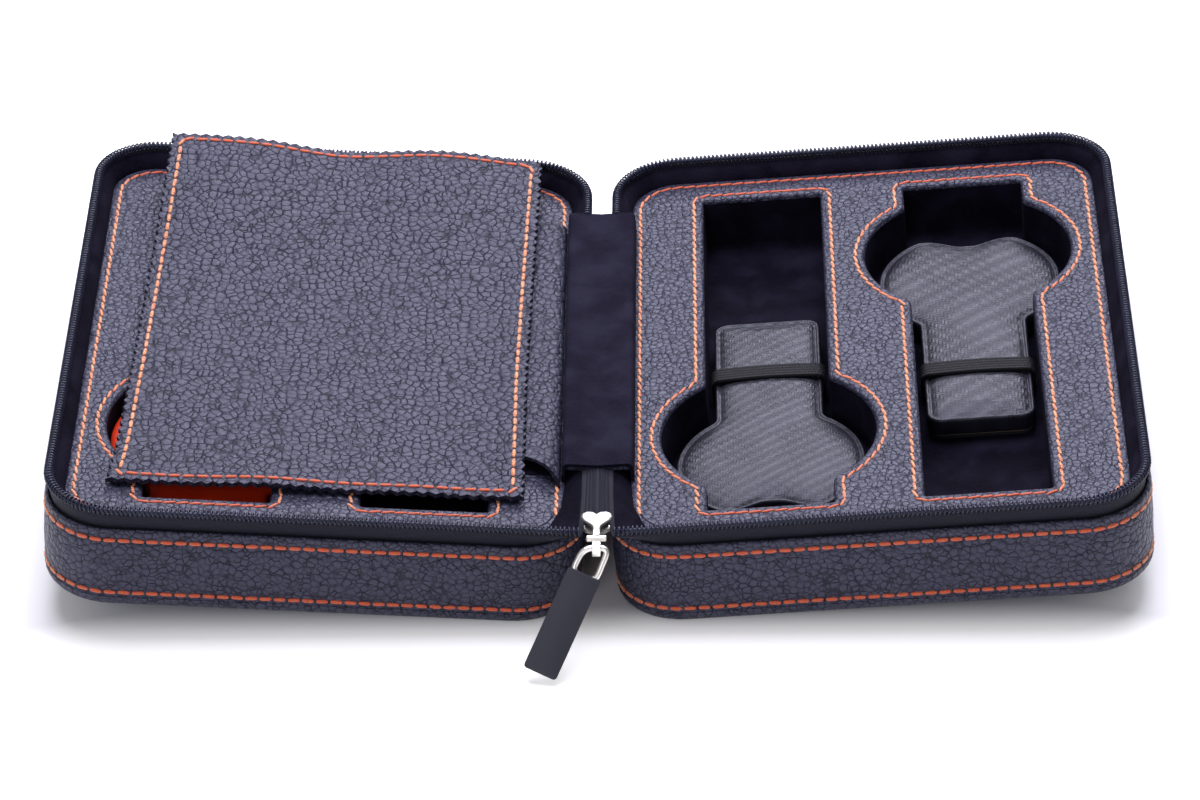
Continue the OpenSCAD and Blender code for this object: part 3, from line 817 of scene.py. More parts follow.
# stitches: one low unit stitch, blunt at its ends, put along each seam
stitch = {"Pitch": 3.8 * mm, "Length": 3.2 * mm, "Width": 1.1 * mm, "Height": 0.8 * mm,
          "Slant": 0.0, "Seed": 3}
stitchProfile = ((-0.5, 0.28), (-0.45, 0.72), (-0.3, 0.96), (0, 1.0), (0.3, 0.96), (0.45, 0.72), (0.5, 0.28))


def makeStitchShape():
    points = [(x, 0.5 * r * math.cos(k * math.pi / 4), 0.5 * r * math.sin(k * math.pi / 4))
              for x, r in stitchProfile for k in range(8)]
    return makeObject("stitchShape", points, capped(8, len(stitchProfile)), flip=True)


stitchMaker = Maker("stitchMaker", stitch)
stitchMaker.repeat(sway=0.06, axis="Z")
stitchShape = makeStitchShape()


def sewn(name, paths, body=None, **changes):
    obj = stitchMaker.run(name, pathObject(paths), Shape=stitchShape, Material=orangeThread, **changes)
    if body:
        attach(obj, body)
    return obj


def outwards(side, loop):  # each point's outward direction in plan, as vectors in the row frame
    along = np.roll(loop, -1, 0) - np.roll(loop, 1, 0)
    normal = np.column_stack([along[:, 1], -along[:, 0], np.zeros(len(loop))])
    normal /= np.linalg.norm(normal, axis=1)[:, None]
    return place(side, normal) - place(side, [(0, 0, 0)])


def makeWallStitches(side):
    loop = outlineLoop(wall["dent"] - wall["stitchSunk"], 18)
    out = outwards(side, loop)
    paths = [(place(side, flat(loop, h)), out, True) for h in (wall["topStitch"], wall["footStitch"])]
    sewn(sideName[side] + "WallStitches", paths, halfBody[side], **wall["stitchSizes"])


def makeDeckStitches(side):
    edge = outlineLoop(case["deckInset"] + deck["seamInset"])
    cornerU, cornerV = deck["seamOpen"]
    hidden = np.flatnonzero((edge[:, 0] < cornerU) & (edge[:, 1] < cornerV))
    edge = np.roll(edge, -1 - hidden[-1], 0)[:-len(hidden)]
    paths = [(place(side, flat(edge, case["deckTop"])), upOf(side), False)]
    for which in ("inner", "outer"):
        loop = inColumn(side, which, pocketLoop(pocket["stitchOut"]))
        paths.append((place(side, flat(loop, case["deckTop"])), upOf(side), True))
    sewn(sideName[side] + "DeckStitches", paths, halfBody[side], **deck["stitchSizes"])


# zip: an open path in plan from the slider's corner, round the outer corners, to the strip's back end
zipShape = {
    "line": 1.3, "start": 4.5, "height": 30.85, "wave": 0.22, "core": 0.55, "coreSides": 6,
    "wire": 0.27, "loopRadius": 1.1, "slope": 0.28, "turns": 12, "sides": 5,
}
coil = {"Pitch": 1.2 * mm, "Length": 1.0, "Width": 1.0, "Height": 1.0, "Slant": 0.0, "Seed": 5}
coilMaker = Maker("repeatMaker", coil)
coilMaker.repeat(sway=0.05, axis="Y")


def zipLine(inset, count=14):
    corner, gap, w, d = case["cornerRadius"], case["spineGap"], case["halfWidth"], case["depth"]
    r, far, near = corner - inset, gap + w - corner, gap + corner
    start = [(u, inset) for u in (zipShape["start"], 10.0, 16.0, near)]
    fifths = (0.2, 0.4, 0.6, 0.8)
    return np.vstack([
        start, between((near, inset), (far, inset), fifths), arc(far, corner, r, -90, 0, count),
        between((gap + w - inset, corner), (gap + w - inset, d - corner), (0.15, 0.3, 0.5, 0.7, 0.85)),
        arc(far, d - corner, r, 0, 90, count), between((far, d - inset), (near, d - inset), fifths),
        arc(near, d - corner, r, 90, 180, count), [(gap + inset, case["stripBack"] + 0.5)]])


def tapeLine(inset):  # the zip's line, led back beside the closed end of the chain to the strip
    u = case["spineGap"] + inset
    lead = [(u - 1.1, 37.0), (u - 1.1, 31.0), (u - 1.1, 20.0), (u - 0.8, 11.0),
            (u - inset * 0.15 - 0.2, 6.0), (u - inset * 0.4 + 0.3, 2.6 + inset * 0.4)]
    return np.vstack([lead, zipLine(inset)])


def zipWave(line, side):  # the tape's edge wanders a little
    return np.array([zipShape["wave"] * wander(p[0] * 0.03, p[1] * 0.03, 5.0 + side) for p in line])


def makeCoilTooth():  # one turn of the coil, standing across the path
    z, points = zipShape, []
    for i in range(z["turns"]):
        a = 2 * math.pi * i / z["turns"]
        wide, high = z["loopRadius"] * 1.05, z["loopRadius"] * 0.98
        out = Vector((0, math.cos(a), math.sin(a)))
        centre = Vector((z["slope"] * math.sin(a), wide * math.cos(a), high * math.sin(a)))
        for k in range(z["sides"]):
            b = 2 * math.pi * k / z["sides"]
            across = Vector((1, 0, 0)) * z["wire"] * 1.15 * math.sin(b)
            points.append((centre + out * z["wire"] * math.cos(b) + across) * mm)
    return makeObject("coilTooth", points, bridge(z["sides"], z["turns"], closedStack=True))


def makeZip(side):
    line = zipLine(zipShape["line"])
    heights = zipShape["height"] + zipWave(line, side)
    tooth = makeCoilTooth()
    seed = pathObject([(place(side, np.column_stack([line, heights])), upOf(side), False)])
    turns = coilMaker.run(sideName[side] + "ZipCoil", seed, Shape=tooth, Material=coilNylon)
    bpy.data.objects.remove(tooth)
    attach(turns, halfBody[side])
    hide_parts(sideName[side] + "_zip_coil")
    core, sides, rings = zipShape["loopRadius"] * zipShape["core"], zipShape["coreSides"], []
    for k in range(sides):
        b = 2 * math.pi * k / sides
        inner = zipLine(zipShape["line"] + core * math.cos(b))
        rings.append(np.column_stack([inner, heights + core * math.sin(b)]))
    points = np.stack(rings, 1).reshape(-1, 3)
    faces = capped(sides, len(line))
    cord = makeObject(sideName[side] + "ZipCore", place(side, points), faces, flip=side == right)
    finishMesh(cord, coilNylon, halfBody[side])


def matched(line, inset):  # for each point of the zip's line, the nearest place on an outline
    loop = outlineLoop(inset, 24)
    dense = np.vstack([loop + (np.roll(loop, -1, 0) - loop) * t for t in np.linspace(0, 0.95, 16)])
    return np.array([dense[np.argmin(((dense - p) ** 2).sum(1))] for p in line])


# tape: across it, each layer's share of the wall's or the deck's edge, the zip line's inset, height and wave
tape = {
    "wall": ((1, 0, 23.6, 0), (0.85, 1.05, 25.3, 0), (0.5, 0.85, 27.2, 0.3), (0, 0.62, 29.4, 0.8),
             (0, 0.72, 29.9, 1), (0, 1.9, 29.9, 1)),
    "deck": ((0, 2.3, 29.55, 1), (0.35, 2.6, 28.6, 0.6), (0.7, 2.8, 27.1, 0.3), (1, 0, 25.5, 0),
             (1, 0, 24.4, 0)),
    "wallInset": 1.7, "deckInset": 0.1, "bulge": 3.2, "bulgeAt": (11.5, 12), "bulgeWidth": 130,
}


def makeTape(side):  # the tape's two faces: down into the wall outside, down to the deck inside
    line = tapeLine(zipShape["line"])
    wave = zipWave(line, side)
    edges = {"wall": matched(line, tape["wallInset"]),
             "deck": matched(line, case["deckInset"] + tape["deckInset"])}
    near = np.exp(-((line - tape["bulgeAt"]) ** 2).sum(1) / tape["bulgeWidth"])[:, None]
    edges["deck"] += (matched(line, case["deckInset"] + tape["bulge"]) - edges["deck"]) * near
    layers = []
    for edge in ("wall", "deck"):
        for share, inset, height, waved in tape[edge]:
            plan = edges[edge] * share + tapeLine(inset) * (1 - share)
            layers.append(np.column_stack([plan, height + waved * wave]))
    count, wide = len(line), len(layers)
    cells = [i * wide + j for i in range(count - 1) for j in range(wide - 1)]
    faces = [(a, a + 1, a + wide + 1, a + wide) for a in cells]
    faces += [tuple(range(wide - 1, -1, -1)), tuple(range((count - 1) * wide, count * wide))]
    obj = makeObject(sideName[side] + "ZipTape", place(side, np.stack(layers, 1).reshape(-1, 3)), faces,
                     flip=side == right)
    finishMesh(obj, tapeCloth, halfBody[side],
               [sideName[side] + "_zip_tape", sideName[side] + "_rim_lining"], angle=50)
    obj.data.materials.append(innerSuede)
    for k, a in enumerate(cells):
        if a % wide >= len(tape["wall"]):
            obj.data.polygons[k].material_index = 1


for side in (left, right):
    makeWallStitches(side)
    makeDeckStitches(side)
    makeZip(side)
    makeTape(side)
print("stitches, zips and tapes made")


# watch holders: a stuffed pad with a welted edge on a stiff backing, and an elastic band
holder = {
    "radius": 26.0, "strapHalf": 15.0, "length": 70.0, "flare": 3.0, "corner": 4.0,
    "notch": 7.4, "notchFlat": 5, "notchHalf": 36,
    "backLow": 9.3, "padLow": 11.1, "padTop": 16.4, "shift": 1.75,
    "puff": 0.77, "puffEdge": 5, "ripple": 0.15, "crest": 0.45, "grid": 2.2, "backGrid": 12.0,
    "foot": ((0.25, 0), (0.02, 0.5)),
    "welt": ((0, -1.4), (0.08, -0.75), (0.3, -0.3), (0.65, -0.15), (1.0, -0.3), (1.3, -0.55), (1.6, -0.5),
             (2.2, -0.15), (3.3, 0.2), (4.8, 0.45)),
    "slab": ((0.6, -0.3), (0.7, -0.02), (3.0, 0)),
    "gold": ((0.35, -0.28), (0.35, 0.06), (1.0, 0.06), (1.0, -0.28)),
}


def holderLoop(inset):  # round end at the origin with its notch towards -y, strap part towards +y
    h = holder
    a, r, f = h["strapHalf"] - inset, h["radius"] - inset, h["flare"] + inset
    c = max(h["corner"] - inset, 0.6)
    far = h["length"] - inset
    reach = math.sqrt((r + f) ** 2 - (a + f) ** 2)
    turn = math.degrees(math.atan2(reach, a + f))
    bend = np.radians(np.linspace(turn, -180 - turn, 97))
    off = np.abs(np.degrees(bend) + 90)
    radius = r - h["notch"] * (1 - smooth(h["notchFlat"], h["notchHalf"], off))
    half = np.vstack([
        arc(a - c, far - c, c, 90, 0, 6), between((a, far - c), (a, reach), np.arange(1, 10) / 10),
        arc(a + f, reach, f, 180, 180 + turn, 5)[:-1]])
    bent = np.column_stack([radius * np.cos(bend), radius * np.sin(bend)])
    return np.roll(np.vstack([half, bent, half[::-1] * (-1, 1)]), 6, axis=0)[::-1]


def puffed(name, side, which, loopOf, profile, height, spacing, shift=0.0):  # rings, then a stuffed middle
    loops = [inColumn(side, which, loopOf(i), shift) for i, _ in profile]
    rings = [flat(loop, h) for loop, (_, h) in zip(loops, profile)]
    count = len(rings[0])
    inside = gridInside(loops[-1], spacing, spacing * 0.55)
    points = np.vstack(rings + [np.column_stack([inside, height(inside, loops[-1])])])
    faces = bridge(count, len(rings))
    faces += [tuple(i + (len(rings) - 1) * count for i in t) for t in fillPlan([loops[-1]], inside)]
    faces += [tuple(reversed(t)) for t in fillPlan([loops[0]])]
    return makeObject(name, place(side, points), faces, flip=side == left)


def makeHolder(side, which, body, material):
    h, name, node = holder, sideName[side] + which.capitalize(), sideName[side] + "_holder_" + which
    low, top = h["padLow"], h["padTop"]

    def padHeight(points, loop):
        ripple = np.array([wander(p[0] * 0.06, p[1] * 0.06, 2.0 + side) for p in points])
        swell = 1 - np.exp(-edgeDistance(points, loop) / h["puffEdge"])
        return top + h["crest"] + h["puff"] * swell + h["ripple"] * ripple

    pad = puffed(name + "Pad", side, which, holderLoop, raised(h["foot"], low) + raised(h["welt"], top),
                 padHeight, h["grid"], h["shift"])
    finishMesh(pad, material, body, [node])
    slab = [(1.0, h["backLow"]), (0.6, h["backLow"] + 0.3)] + raised(h["slab"], low)
    plate = puffed(name + "Backing", side, which, holderLoop, slab,
                   lambda points, loop: np.full(len(points), low), h["backGrid"], h["shift"])
    finishMesh(plate, fibreBlack, body, [node + "_back"], angle=40)
    rings = [flat(inColumn(side, which, holderLoop(i), h["shift"]), z) for i, z in raised(h["gold"], low)]
    edge = makeObject(name + "BackingEdge", place(side, np.vstack(rings)),
                      bridge(len(rings[0]), len(rings), closedStack=True), flip=side == right)
    finishMesh(edge, goldEdge, body)
    makeBand(side, which, body)


band = {
    "fromEnd": {"inner": 28.0, "outer": 23.5}, "width": 6.0, "thick": 0.8, "ribs": 5,
    "clear": 0.25, "above": 0.75, "below": 0.3, "round": 1.4, "bow": 0.55,
}


def makeBand(side, which, body):  # elastic, ribbed along its run, round the pad
    b, r, bow = band, band["round"], band["bow"]
    half = holder["strapHalf"] + b["clear"]
    top, low = holder["padTop"] + b["above"], holder["padLow"] - b["below"]
    path = np.vstack([
        [(half, low + 0.6), (half, top - 1.6)], arc(half - r, top - r, r, 22, 68, 3),
        [(x, top + bow * math.cos(0.5 * math.pi * x / half)) for x in np.linspace(half - r, r - half, 13)],
        arc(r - half, top - r, r, 112, 158, 3),
        [(-half, top - 1.6), (-half, low + 0.6), (0.6 - half, low), (half - 0.6, low)]])
    run = np.roll(path, -1, 0) - np.roll(path, 1, 0)
    out = np.column_stack([run[:, 1], -run[:, 0]])
    out /= np.linalg.norm(out, axis=1)[:, None]
    across = np.linspace(-0.5, 0.5, 4 * b["ribs"] + 1)
    lift = b["thick"] * (0.72 + 0.28 * np.abs(np.sin(np.pi * b["ribs"] * (across + 0.5))) ** 0.7)
    lift[[0, -1]] = b["thick"] * 0.45
    strip = list(zip(across * b["width"], lift)) + [(0.5 * b["width"], 0.05), (-0.5 * b["width"], 0.05)]
    middle = holder["length"] - b["fromEnd"][which]
    points = []
    for p, o in zip(path, out):
        for y, d in strip:
            x, z = p + o * d
            plan = inColumn(side, which, [(x, middle + y)], holder["shift"])[0]
            points.append((plan[0], plan[1], z))
    ahead = column(side, which)[2] == 1
    obj = makeObject(sideName[side] + which.capitalize() + "Band", place(side, points),
                     bridge(len(strip), len(path), closedStack=True), flip=(side == right) == ahead)
    finishMesh(obj, elasticCloth, body, [sideName[side] + "_band_" + which], angle=40)


insert = {
    "clear": 1.5, "low": 9.6, "top": 20.6, "crest": 0.25, "dome": 0.8, "domeEdge": 6, "grid": 2.6,
    "foot": ((0.8, 0), (0, 1)), "shoulder": ((0, -1.6), (0.3, -0.6), (1.0, 0), (2.2, 0.25)),
}


def makeInsert():  # the orange insert that fills the left half's outer pocket
    profile = raised(insert["foot"], insert["low"]) + raised(insert["shoulder"], insert["top"])

    def height(points, loop):
        swell = 1 - np.exp(-edgeDistance(points, loop) / insert["domeEdge"])
        return insert["top"] + insert["crest"] + insert["dome"] * swell

    def loopAt(inset):
        return pocketLoop(-insert["clear"] - inset)

    obj = puffed("leftOuterInsert", left, "outer", loopAt, profile, height, insert["grid"])
    finishMesh(obj, orangeLeather, "left_half",
               ["left_holder_outer", "left_holder_outer_back", "left_band_outer"])


makeHolder(right, "inner", "right_inner_holder", fineTwill)
makeHolder(right, "outer", "right_outer_holder", wideTwill)
makeHolder(left, "inner", "left_half", fineTwill)
makeInsert()
print("holders, bands and insert made")


# spine: a suede strip inside and a leather strip below it, each bending between the halves
spine = {
    "setback": 2.6, "thick": 0.9, "sag": 0.5, "step": 2.0, "edge": 8.9, "top": 31.55, "crown": 0.35,
    "deckEdge": 25.75, "bend": 28.6, "leather": (8.4, 4, 2, 0.01), "leatherLow": 29.6, "leatherHigh": 30.75,
    "ripple": 0.25, "endFade": 4,
}


def ribbon(name, sections, flip=False):  # closed sections of (side, u, h) along v, a point may add to its v
    points = [place(side, [(u, v + sum(more), h)])[0]
              for v, section in sections for side, u, h, *more in section]
    return makeObject(name, points, capped(len(sections[0][1]), len(sections)), flip=flip)


def bothWays(half):  # a half section, from the left half's edge to the right half's
    return [(left, u, h) for u, h in half] + [(right, u, h) for u, h in half[-2::-1]]


def makeSpine():
    s, t, e, sag = spine, spine["thick"], spine["edge"], spine["sag"]
    front, back = case["stripFront"] + s["setback"], case["stripBack"]
    rows = np.linspace(front, back, int((back - front) / s["step"]) + 1)
    sections = []
    for v in rows:
        end = 1 - math.exp(-min(v - front, back - v) / s["endFade"])
        top = s["top"] + s["ripple"] * wander(0, v * 0.04, 1.0) + s["crown"] * end
        half = [(e + 0.6, s["deckEdge"]), (e + 0.62, s["bend"]), (e + 0.5, top - 1.0), (e, top - 0.25),
                (e - 0.8, top), (e - 3.5, top - 0.1 * end), (2.2, top - sag * 0.8 * end),
                (0.01, top - sag * end)]
        low = [(u - t, h - (0 if k < 3 else t)) for k, (u, h) in enumerate(half)]
        under = [(right, u, h) for u, h in low[:-1]] + [(left, max(u, 0), h) for u, h in reversed(low)]
        sections.append((v, bothWays(half) + under))
    slab = [(u, s["leatherHigh"]) for u in s["leather"]]
    section = bothWays(slab) + [(right, u, s["leatherLow"]) for u in s["leather"][:-1]]
    section += [(left, u, s["leatherLow"]) for u in s["leather"][::-1]]
    suedeStrip = ribbon("spineSuede", sections, flip=True)
    leatherStrip = ribbon("spineLeather", [(v, section) for v in rows], flip=True)
    finishMesh(suedeStrip, stripSuede, None, ["left_spine_suede", "right_spine_suede"], angle=50)
    finishMesh(leatherStrip, outerLeather, None,
               ["left_spine_leather", "right_spine_leather"], angle=50)
    for strip in (suedeStrip, leatherStrip):
        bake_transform(strip)


chainEnd = {
    "from": 5.4, "to": 33.0, "rows": 18, "half": 3.3, "crown": 31.3, "fall": 0.5,
    "ribs": 7, "rib": 0.17, "dome": 0.72, "thick": 1.1,
}


def makeChainEnd():  # the closed end of the zip under the strip's front, ribbed along its run
    c, sections = chainEnd, []
    for t in np.linspace(0, 1, c["rows"]):
        half, crown = c["half"] - c["fall"] * t, c["crown"] - c["fall"] * t
        top = []
        for x in np.linspace(-1, 1, 4 * c["ribs"] + 1):
            dome = crown - c["dome"] * x * x - c["rib"] * (1 + math.cos(math.pi * c["ribs"] * (x + 1)))
            top.append((left if x < 0 else right, abs(x) * half, dome))
        low = [(side, half * 0.9, crown - c["thick"]) for side in (right, left)]
        sections.append((c["from"] + (c["to"] - c["from"]) * t, top + low))
    chain = ribbon("zipChainEnd", sections, flip=True)
    finishMesh(chain, chainCloth, "left_half", ["zip_chain_end"], angle=60)


makeSpine()
makeChainEnd()
print("spine and chain end made")


# flap: a pinked leather sheet lined with suede, lying over the left half
flap = {
    "front": 19.6, "width": 112, "depth": 163.0, "pink": 1.1, "thick": 1.3, "seam": 3.2, "cells": (66, 96),
    "low": 27.9, "lift": 0.3, "bend": (13.0, 26.0), "bendAt": (90, 28), "curl": (92, 186), "curlPower": 1.5,
    "edgeAt": (19.6, 36, 75, 120, 182.6), "rightEdge": (19.3, 19.4, 19.6, 18.9, 17.6),
    "leftEdge": (131.7, 130.4, 129.2, 128.2, 126.2),
    "overStrap": 2.2, "strapAt": 17.6, "strapWidth": 11, "strapFront": (22, 42), "strapBack": (150, 172),
    "outerLift": 0.9, "outerFrom": (95, 128), "outerFront": (20, 90), "sway": 0.35, "ripple": 0.25,
}
backShape = {
    "u": (16, 28, 42, 52, 62, 76, 86, 98, 112, 128),
    "h": (33.4, 34.6, 36.2, 36.3, 35.2, 34.0, 35.4, 37.4, 38.1, 37.9),
    "soften": ((-5, 0.3), (0, 0.4), (5, 0.3)),
}


def flapHeight(u, v):
    f, u, v = flap, np.asarray(u, float), np.asarray(v, float)
    back = sum(w * np.interp(u + d, backShape["u"], backShape["h"]) for d, w in backShape["soften"])
    rise = smooth(*f["curl"], v) ** f["curlPower"]
    strap = f["overStrap"] * np.exp(-((u - f["strapAt"]) / f["strapWidth"]) ** 2)
    strap = strap * smooth(*f["strapFront"], v) * (1 - smooth(*f["strapBack"], v))
    outer = f["outerLift"] * smooth(*f["outerFrom"], u) * smooth(*f["outerFront"], v)
    wave = f["sway"] * np.sin(u * 0.075 + 1.2) * np.sin(v * 0.05)
    wave = wave + f["ripple"] * np.sin(u * 0.16) * smooth(60, 14, v)
    return f["low"] + rise * (back - f["low"]) + (strap + outer + wave) * (1 - rise) + f["lift"]


def bendFlap(obj):  # the piece's placing is baked into its mesh; the width where the leather would roll is placed but not used
    v, h = flap["bendAt"]
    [Vector(place(left, [(u, v, h)])[0]) for u in flap["bend"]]
    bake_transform(obj)


def flapPlan(share, v, inset=0.0):  # a place across the flap, from its right edge to its left
    low, high = (np.interp(v, flap["edgeAt"], flap[k]) for k in ("rightEdge", "leftEdge"))
    return low + inset + (high - low - 2 * inset) * share


def makeFlap():
    m, n = flap["cells"]
    points = []
    for i in range(m + 1):
        for j, v in enumerate(flap["front"] + np.linspace(0, flap["depth"], n + 1)):
            x, y = flapPlan(i / m, v), v
            if i in (0, m) and j % 2:
                x += flap["pink"] * (1 if i == 0 else -1)
            if j in (0, n) and i % 2:
                y += flap["pink"] * (1 if j == 0 else -1)
            points.append((x, y))
    size, (u, v) = len(points), np.array(points).T
    upper = np.column_stack([u, v, flapHeight(u, v)])
    faces = [(a, a + n + 1, a + n + 2, a + 1) for a in (i * (n + 1) + j for i in range(m) for j in range(n))]
    lower = [tuple(k + size for k in reversed(quad)) for quad in faces]
    border = [i * (n + 1) for i in range(m + 1)] + [m * (n + 1) + j for j in range(1, n + 1)]
    border += [i * (n + 1) + n for i in range(m - 1, -1, -1)] + list(range(n - 1, 0, -1))
    faces += [(a, a + size, b + size, b) for a, b in zip(border, border[1:] + border[:1])]
    both = np.vstack([upper, upper - (0, 0, flap["thick"])])
    obj = makeObject("flapLeather", place(left, both), faces + lower, flip=True)
    obj.data.materials.append(flapLeather)
    obj.data.materials.append(innerSuede)
    for k in range(len(faces), len(faces) + len(lower)):
        obj.data.polygons[k].material_index = 1
    obj.data.set_sharp_from_angle(angle=math.radians(50))
    bendFlap(obj)
    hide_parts("flap_panel", "flap_suede_lining")


def makeFlapStitches():
    s = flap["seam"]
    shares = np.linspace(0, 1, 55)
    depths = flap["front"] + np.linspace(s, flap["depth"] - s, 79)
    plan = [(share, depths[0]) for share in shares] + [(1, v) for v in depths[1:]]
    plan += [(share, depths[-1]) for share in shares[-2::-1]] + [(0, v) for v in depths[-2:0:-1]]
    u, v = np.array([(flapPlan(share, v, s), v) for share, v in plan]).T
    seam = np.column_stack([u, v, flapHeight(u, v) + 0.05])
    slopeU = (flapHeight(u + 1, v) - flapHeight(u - 1, v)) / 2
    slopeV = (flapHeight(u, v + 1) - flapHeight(u, v - 1)) / 2
    up = place(left, np.column_stack([-slopeU, -slopeV, np.ones(len(plan))])) - place(left, [(0, 0, 0)])
    bendFlap(sewn("flapStitches", [(place(left, seam), up, True)], Height=0.75 * mm))


strap = {
    "front": (28.6, 38.5), "frontAt": (10, 20), "back": 157.0, "rows": 64, "thick": 1.1,
    "arch": 1.3, "archLength": 0.12, "ripple": 0.15, "liftFrom": (9.8, 14), "deck": 25.75,
    "path": ((9.75, 25.9), (9.8, 27.0), (10.5, 28.2), (12.0, 28.95), (14.0, 29.15), (17.0, 28.7),
             (21.0, 27.9), (26.0, 27.0)),
    "tongue": (9.9, 22.0), "tongueRows": (34.0, 90.0, 153.0), "tongueThick": 0.3, "tongueLift": 0.06,
}


def makeFlapHinge():  # the leather strap that carries the flap up over the deck's edge, and a dark suede sheet on the deck below it, painted shade where the strap hides the deck
    s, path = strap, np.array(strap["path"])
    near = np.interp(path[:, 0], s["frontAt"], s["front"])
    run = np.gradient(path, axis=0)
    normal = np.column_stack([-run[:, 1], run[:, 0]]) / np.linalg.norm(run, axis=1)[:, None]
    sections = []
    for share in np.linspace(0, 1, s["rows"]):
        v = near + (s["back"] - near) * share
        lift = s["ripple"] * wander(4, share * 6) + s["arch"] * math.exp(-share / s["archLength"])
        top = path + np.array([0, 1.0]) * lift * smooth(*s["liftFrom"], path[:, 0])[:, None]
        low = top - normal * s["thick"]
        low[:, 1] = np.maximum(low[:, 1], s["deck"])
        plan = np.concatenate([v, v[::-1]])
        sections.append((0, [(left, u, h, y) for (u, h), y in zip(np.vstack([top, low[::-1]]), plan)]))
    obj = ribbon("flapStrap", sections)
    finishMesh(obj, flapLeather, None, ["flap_hinge"], angle=50)
    bendFlap(obj)
    # painted shade: a thin dark suede sheet laid on the deck under the strap, where the deck lies in shade
    (a, b), low = s["tongue"], case["deckTop"] + s["tongueLift"]
    high = low + s["tongueThick"]
    section = [(left, a, low), (left, b, low), (left, b, high), (left, a, high)]
    tongue = ribbon("flapTongue", [(v, section) for v in s["tongueRows"]], flip=True)
    finishMesh(tongue, innerSuede, "left_half", angle=40)


makeFlap()
makeFlapStitches()
bpy.data.objects.remove(stitchShape)
makeFlapHinge()
print("flap made")


# zip slider and pull
pull = {
    "side": 25.0, "loopHalf": 3.4, "loopLength": 8.5, "wire": 0.85, "bend": 2.6, "tipGap": 0.2,
    "tabWidth": 9.4, "tabThick": 2.6, "tabStart": 7.4, "tabLength": 29.0, "corner": 1.0,
    "tabEdge": ((0.93, 0), (0.98, 0.12), (1.0, 0.45)),
}
pullY, pullZ = [joints["pull_swing"]["pos_m"][i] / mm for i in (1, 2)]
pullDrop = (pull["tabStart"] + pull["tabLength"]) * math.cos(math.radians(pull["side"]))
pullDrop += pull["tabWidth"] / 2 * math.sin(math.radians(pull["side"]))
pullLean = math.acos((pullZ - pull["tipGap"]) / math.hypot(pullDrop, pull["tabThick"] / 2))
pullLean += math.atan(pull["tabThick"] / 2 / pullDrop)
leanTurn = Matrix.Rotation(-pullLean, 3, "X")
sideTurn = Matrix.Rotation(math.radians(pull["side"]), 3, "Y")


def tube(name, path, radius, sides=12):  # a closed wire along a loop of points
    count, points = len(path), []
    up = (path[1] - path[-1]).normalized().orthogonal().normalized()
    for i, p in enumerate(path):
        along = (path[(i + 1) % count] - path[i - 1]).normalized()
        up = (up - along * up.dot(along)).normalized()
        sideways = along.cross(up)
        for k in range(sides):
            a = 2 * math.pi * k / sides
            points.append((p + (up * math.cos(a) + sideways * math.sin(a)) * radius))
    return makeObject(name, points, bridge(sides, count, closedStack=True))


def makeLoop():
    half, length, r = pull["loopHalf"], pull["loopLength"], pull["bend"]
    top = [Vector((-half, 0, 0)), Vector((half, 0, 0))]
    low = [sideTurn @ Vector((half, 0, -length)), sideTurn @ Vector((-half, 0, -length))]
    corners = [leanTurn @ p for p in top + low]
    path = []
    for k, corner in enumerate(corners):
        after = corners[(k + 1) % 4]
        a = corner + (corners[k - 1] - corner).normalized() * r
        b = corner + (after - corner).normalized() * r
        path += [a * (1 - t) ** 2 + corner * 2 * t * (1 - t) + b * t * t for t in np.linspace(0, 1, 6)]
        path += [b.lerp(after - (after - corner).normalized() * r, t) for t in (0.33, 0.67)]
    pivot = Vector((0, pullY, pullZ))
    loop = tube("pullLoop", [(p + pivot) * mm for p in path], pull["wire"] * mm)
    finishMesh(loop, brightMetal, "pull", ["pull_loop"])


def makeTab():
    w, t, c = pull["tabWidth"] / 2, pull["tabThick"] / 2, pull["corner"]
    start, end = -pull["tabStart"], -pull["tabStart"] - pull["tabLength"]
    plan = np.vstack([arc(c - w, end + c, c, 180, 270, 5), arc(w - c, end + c, c, 270, 360, 5),
                      arc(w - c, start - c, c, 0, 90, 5), arc(c - w, start - c, c, 90, 180, 5)])
    middle = np.array([0, (start + end) / 2])
    levels = [(shrink, rise - t) for shrink, rise in pull["tabEdge"]]
    levels += [(shrink, t - rise) for shrink, rise in pull["tabEdge"][::-1]]
    turn, pivot, points = leanTurn @ sideTurn, Vector((0, pullY, pullZ)), []
    for shrink, y in levels:
        for x, z in middle + (plan - middle) * (shrink, 1 - (1 - shrink) * 0.4):
            points.append(turn @ Vector((x, y, z)) + pivot)
    count, tris = len(plan), fillPlan([plan])
    faces = bridge(count, len(levels)) + [tuple(reversed(f)) for f in tris]
    faces += [tuple(i + (len(levels) - 1) * count for i in f) for f in tris]
    tab = makeObject("pullTab", np.array(points) * mm, faces, flip=True)
    finishMesh(tab, tabRubber, "pull", ["pull_tab"], angle=45)


# slider: two plates of one outline, a post between them, a nose below and the pull's bar; z as on a half
slider = {
    "plan": ((0, 7.2), (1.2, 8.4), (2.7, 8.6), (3.9, 7.7), (4.2, 6.2), (3.7, 4.7), (2.6, 3.5), (1.5, 2.4),
             (1.0, 1.2), (0.9, -0.4), (1.0, -2.0)),
    "middle": (0, 3.3), "plates": ((28.9, 30.0), (31.8, 33.0)),
    "edge": ((0.88, 0), (1.0, 0.3)), "dome": ((1.0, -0.45), (0.93, -0.1), (0.8, 0), (0.4, 0.15)),
    "post": ((-0.95, -2.2, 28.9), (0.95, 0.4, 32.8)), "nose": ((-1.15, -6.4, 28.5), (1.15, -1.8, 31.5)),
    "bevel": 0.22, "bar": ((2.8, 0.15), (2.7, 0.6), (2.5, 0.85)), "barPlace": (-2.2, 31.5), "barSides": 12,
}


def row(points):  # mm from the front of the spine's middle, z as on a half, to metres
    return (np.asarray(points, float) + (0, frontY, foldZ - axisHeight)) * mm


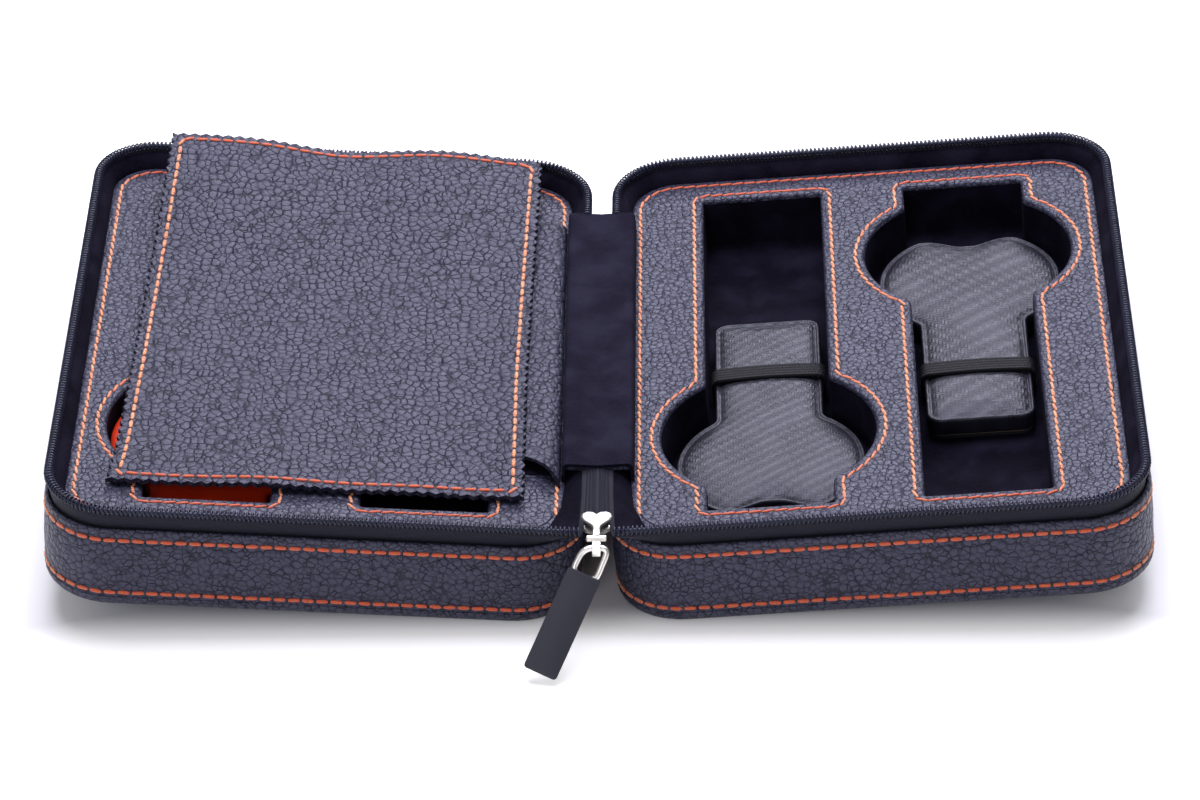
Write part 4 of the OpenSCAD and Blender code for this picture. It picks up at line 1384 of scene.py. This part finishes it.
def boxShape(low, high):
    ends = (low, high)
    around = ((0, 0), (1, 0), (1, 1), (0, 1))
    points = [(ends[i][0], ends[j][1], ends[k][2]) for k in (0, 1) for i, j in around]
    return points, ((3, 2, 1, 0), (4, 5, 6, 7), (0, 1, 5, 4), (1, 2, 6, 5), (2, 3, 7, 6), (3, 0, 4, 7))


def makeSlider():
    s, half, middle = slider, np.array(slider["plan"]), np.array(slider["middle"])
    plan = np.vstack([half[::-1], half[1:] * (-1, 1)])
    shapes = []
    for low, high in s["plates"]:
        levels = raised(s["edge"], low) + raised(s["dome"], high)
        rings = [flat(middle + (plan - middle) * grow, h) for grow, h in levels]
        shapes.append((np.vstack(rings), capped(len(plan), len(rings))))
    shapes += [boxShape(*s["post"]), boxShape(*s["nose"])]
    points, faces = [], []
    for corners, quads in shapes:
        faces += [tuple(i + len(points) for i in f) for f in quads]
        points += list(corners)
    body = makeObject("sliderBody", row(points), faces)
    bevel = body.modifiers.new("bevel", "BEVEL")
    bevel.width, bevel.segments = s["bevel"] * mm, 2
    bevel.limit_method, bevel.angle_limit = "ANGLE", math.radians(50)
    plain = madePlain(body, "sliderBody")
    body.modifiers.clear()
    body.data = plain
    finishMesh(body, brightMetal, "slider", ["zip_slider"], angle=50)
    ends = [(-x, radius) for x, radius in s["bar"]] + list(s["bar"])[::-1]
    (y, z), sides = s["barPlace"], s["barSides"]
    turns = [2 * math.pi * k / sides for k in range(sides)]
    bar = [(x, y + radius * math.cos(a), z + radius * math.sin(a)) for x, radius in ends for a in turns]
    hook = makeObject("sliderBar", row(bar), capped(sides, len(ends)), flip=True)
    finishMesh(hook, brightMetal, "slider", angle=50)


makeLoop()
makeTab()
makeSlider()
print("slider and pull made")


# what is still the frame's own gets a finish too
plainNodes = {"base_board": fibreBoard, "wall_frame": fibreBoard, "tray_foam": trayFoam}
for name, node in frame["nodes"].items():
    for part, finish in plainNodes.items():
        if part in name:
            node.data.materials.clear()
            node.data.materials.append(finish)
print("boards and foam finished")
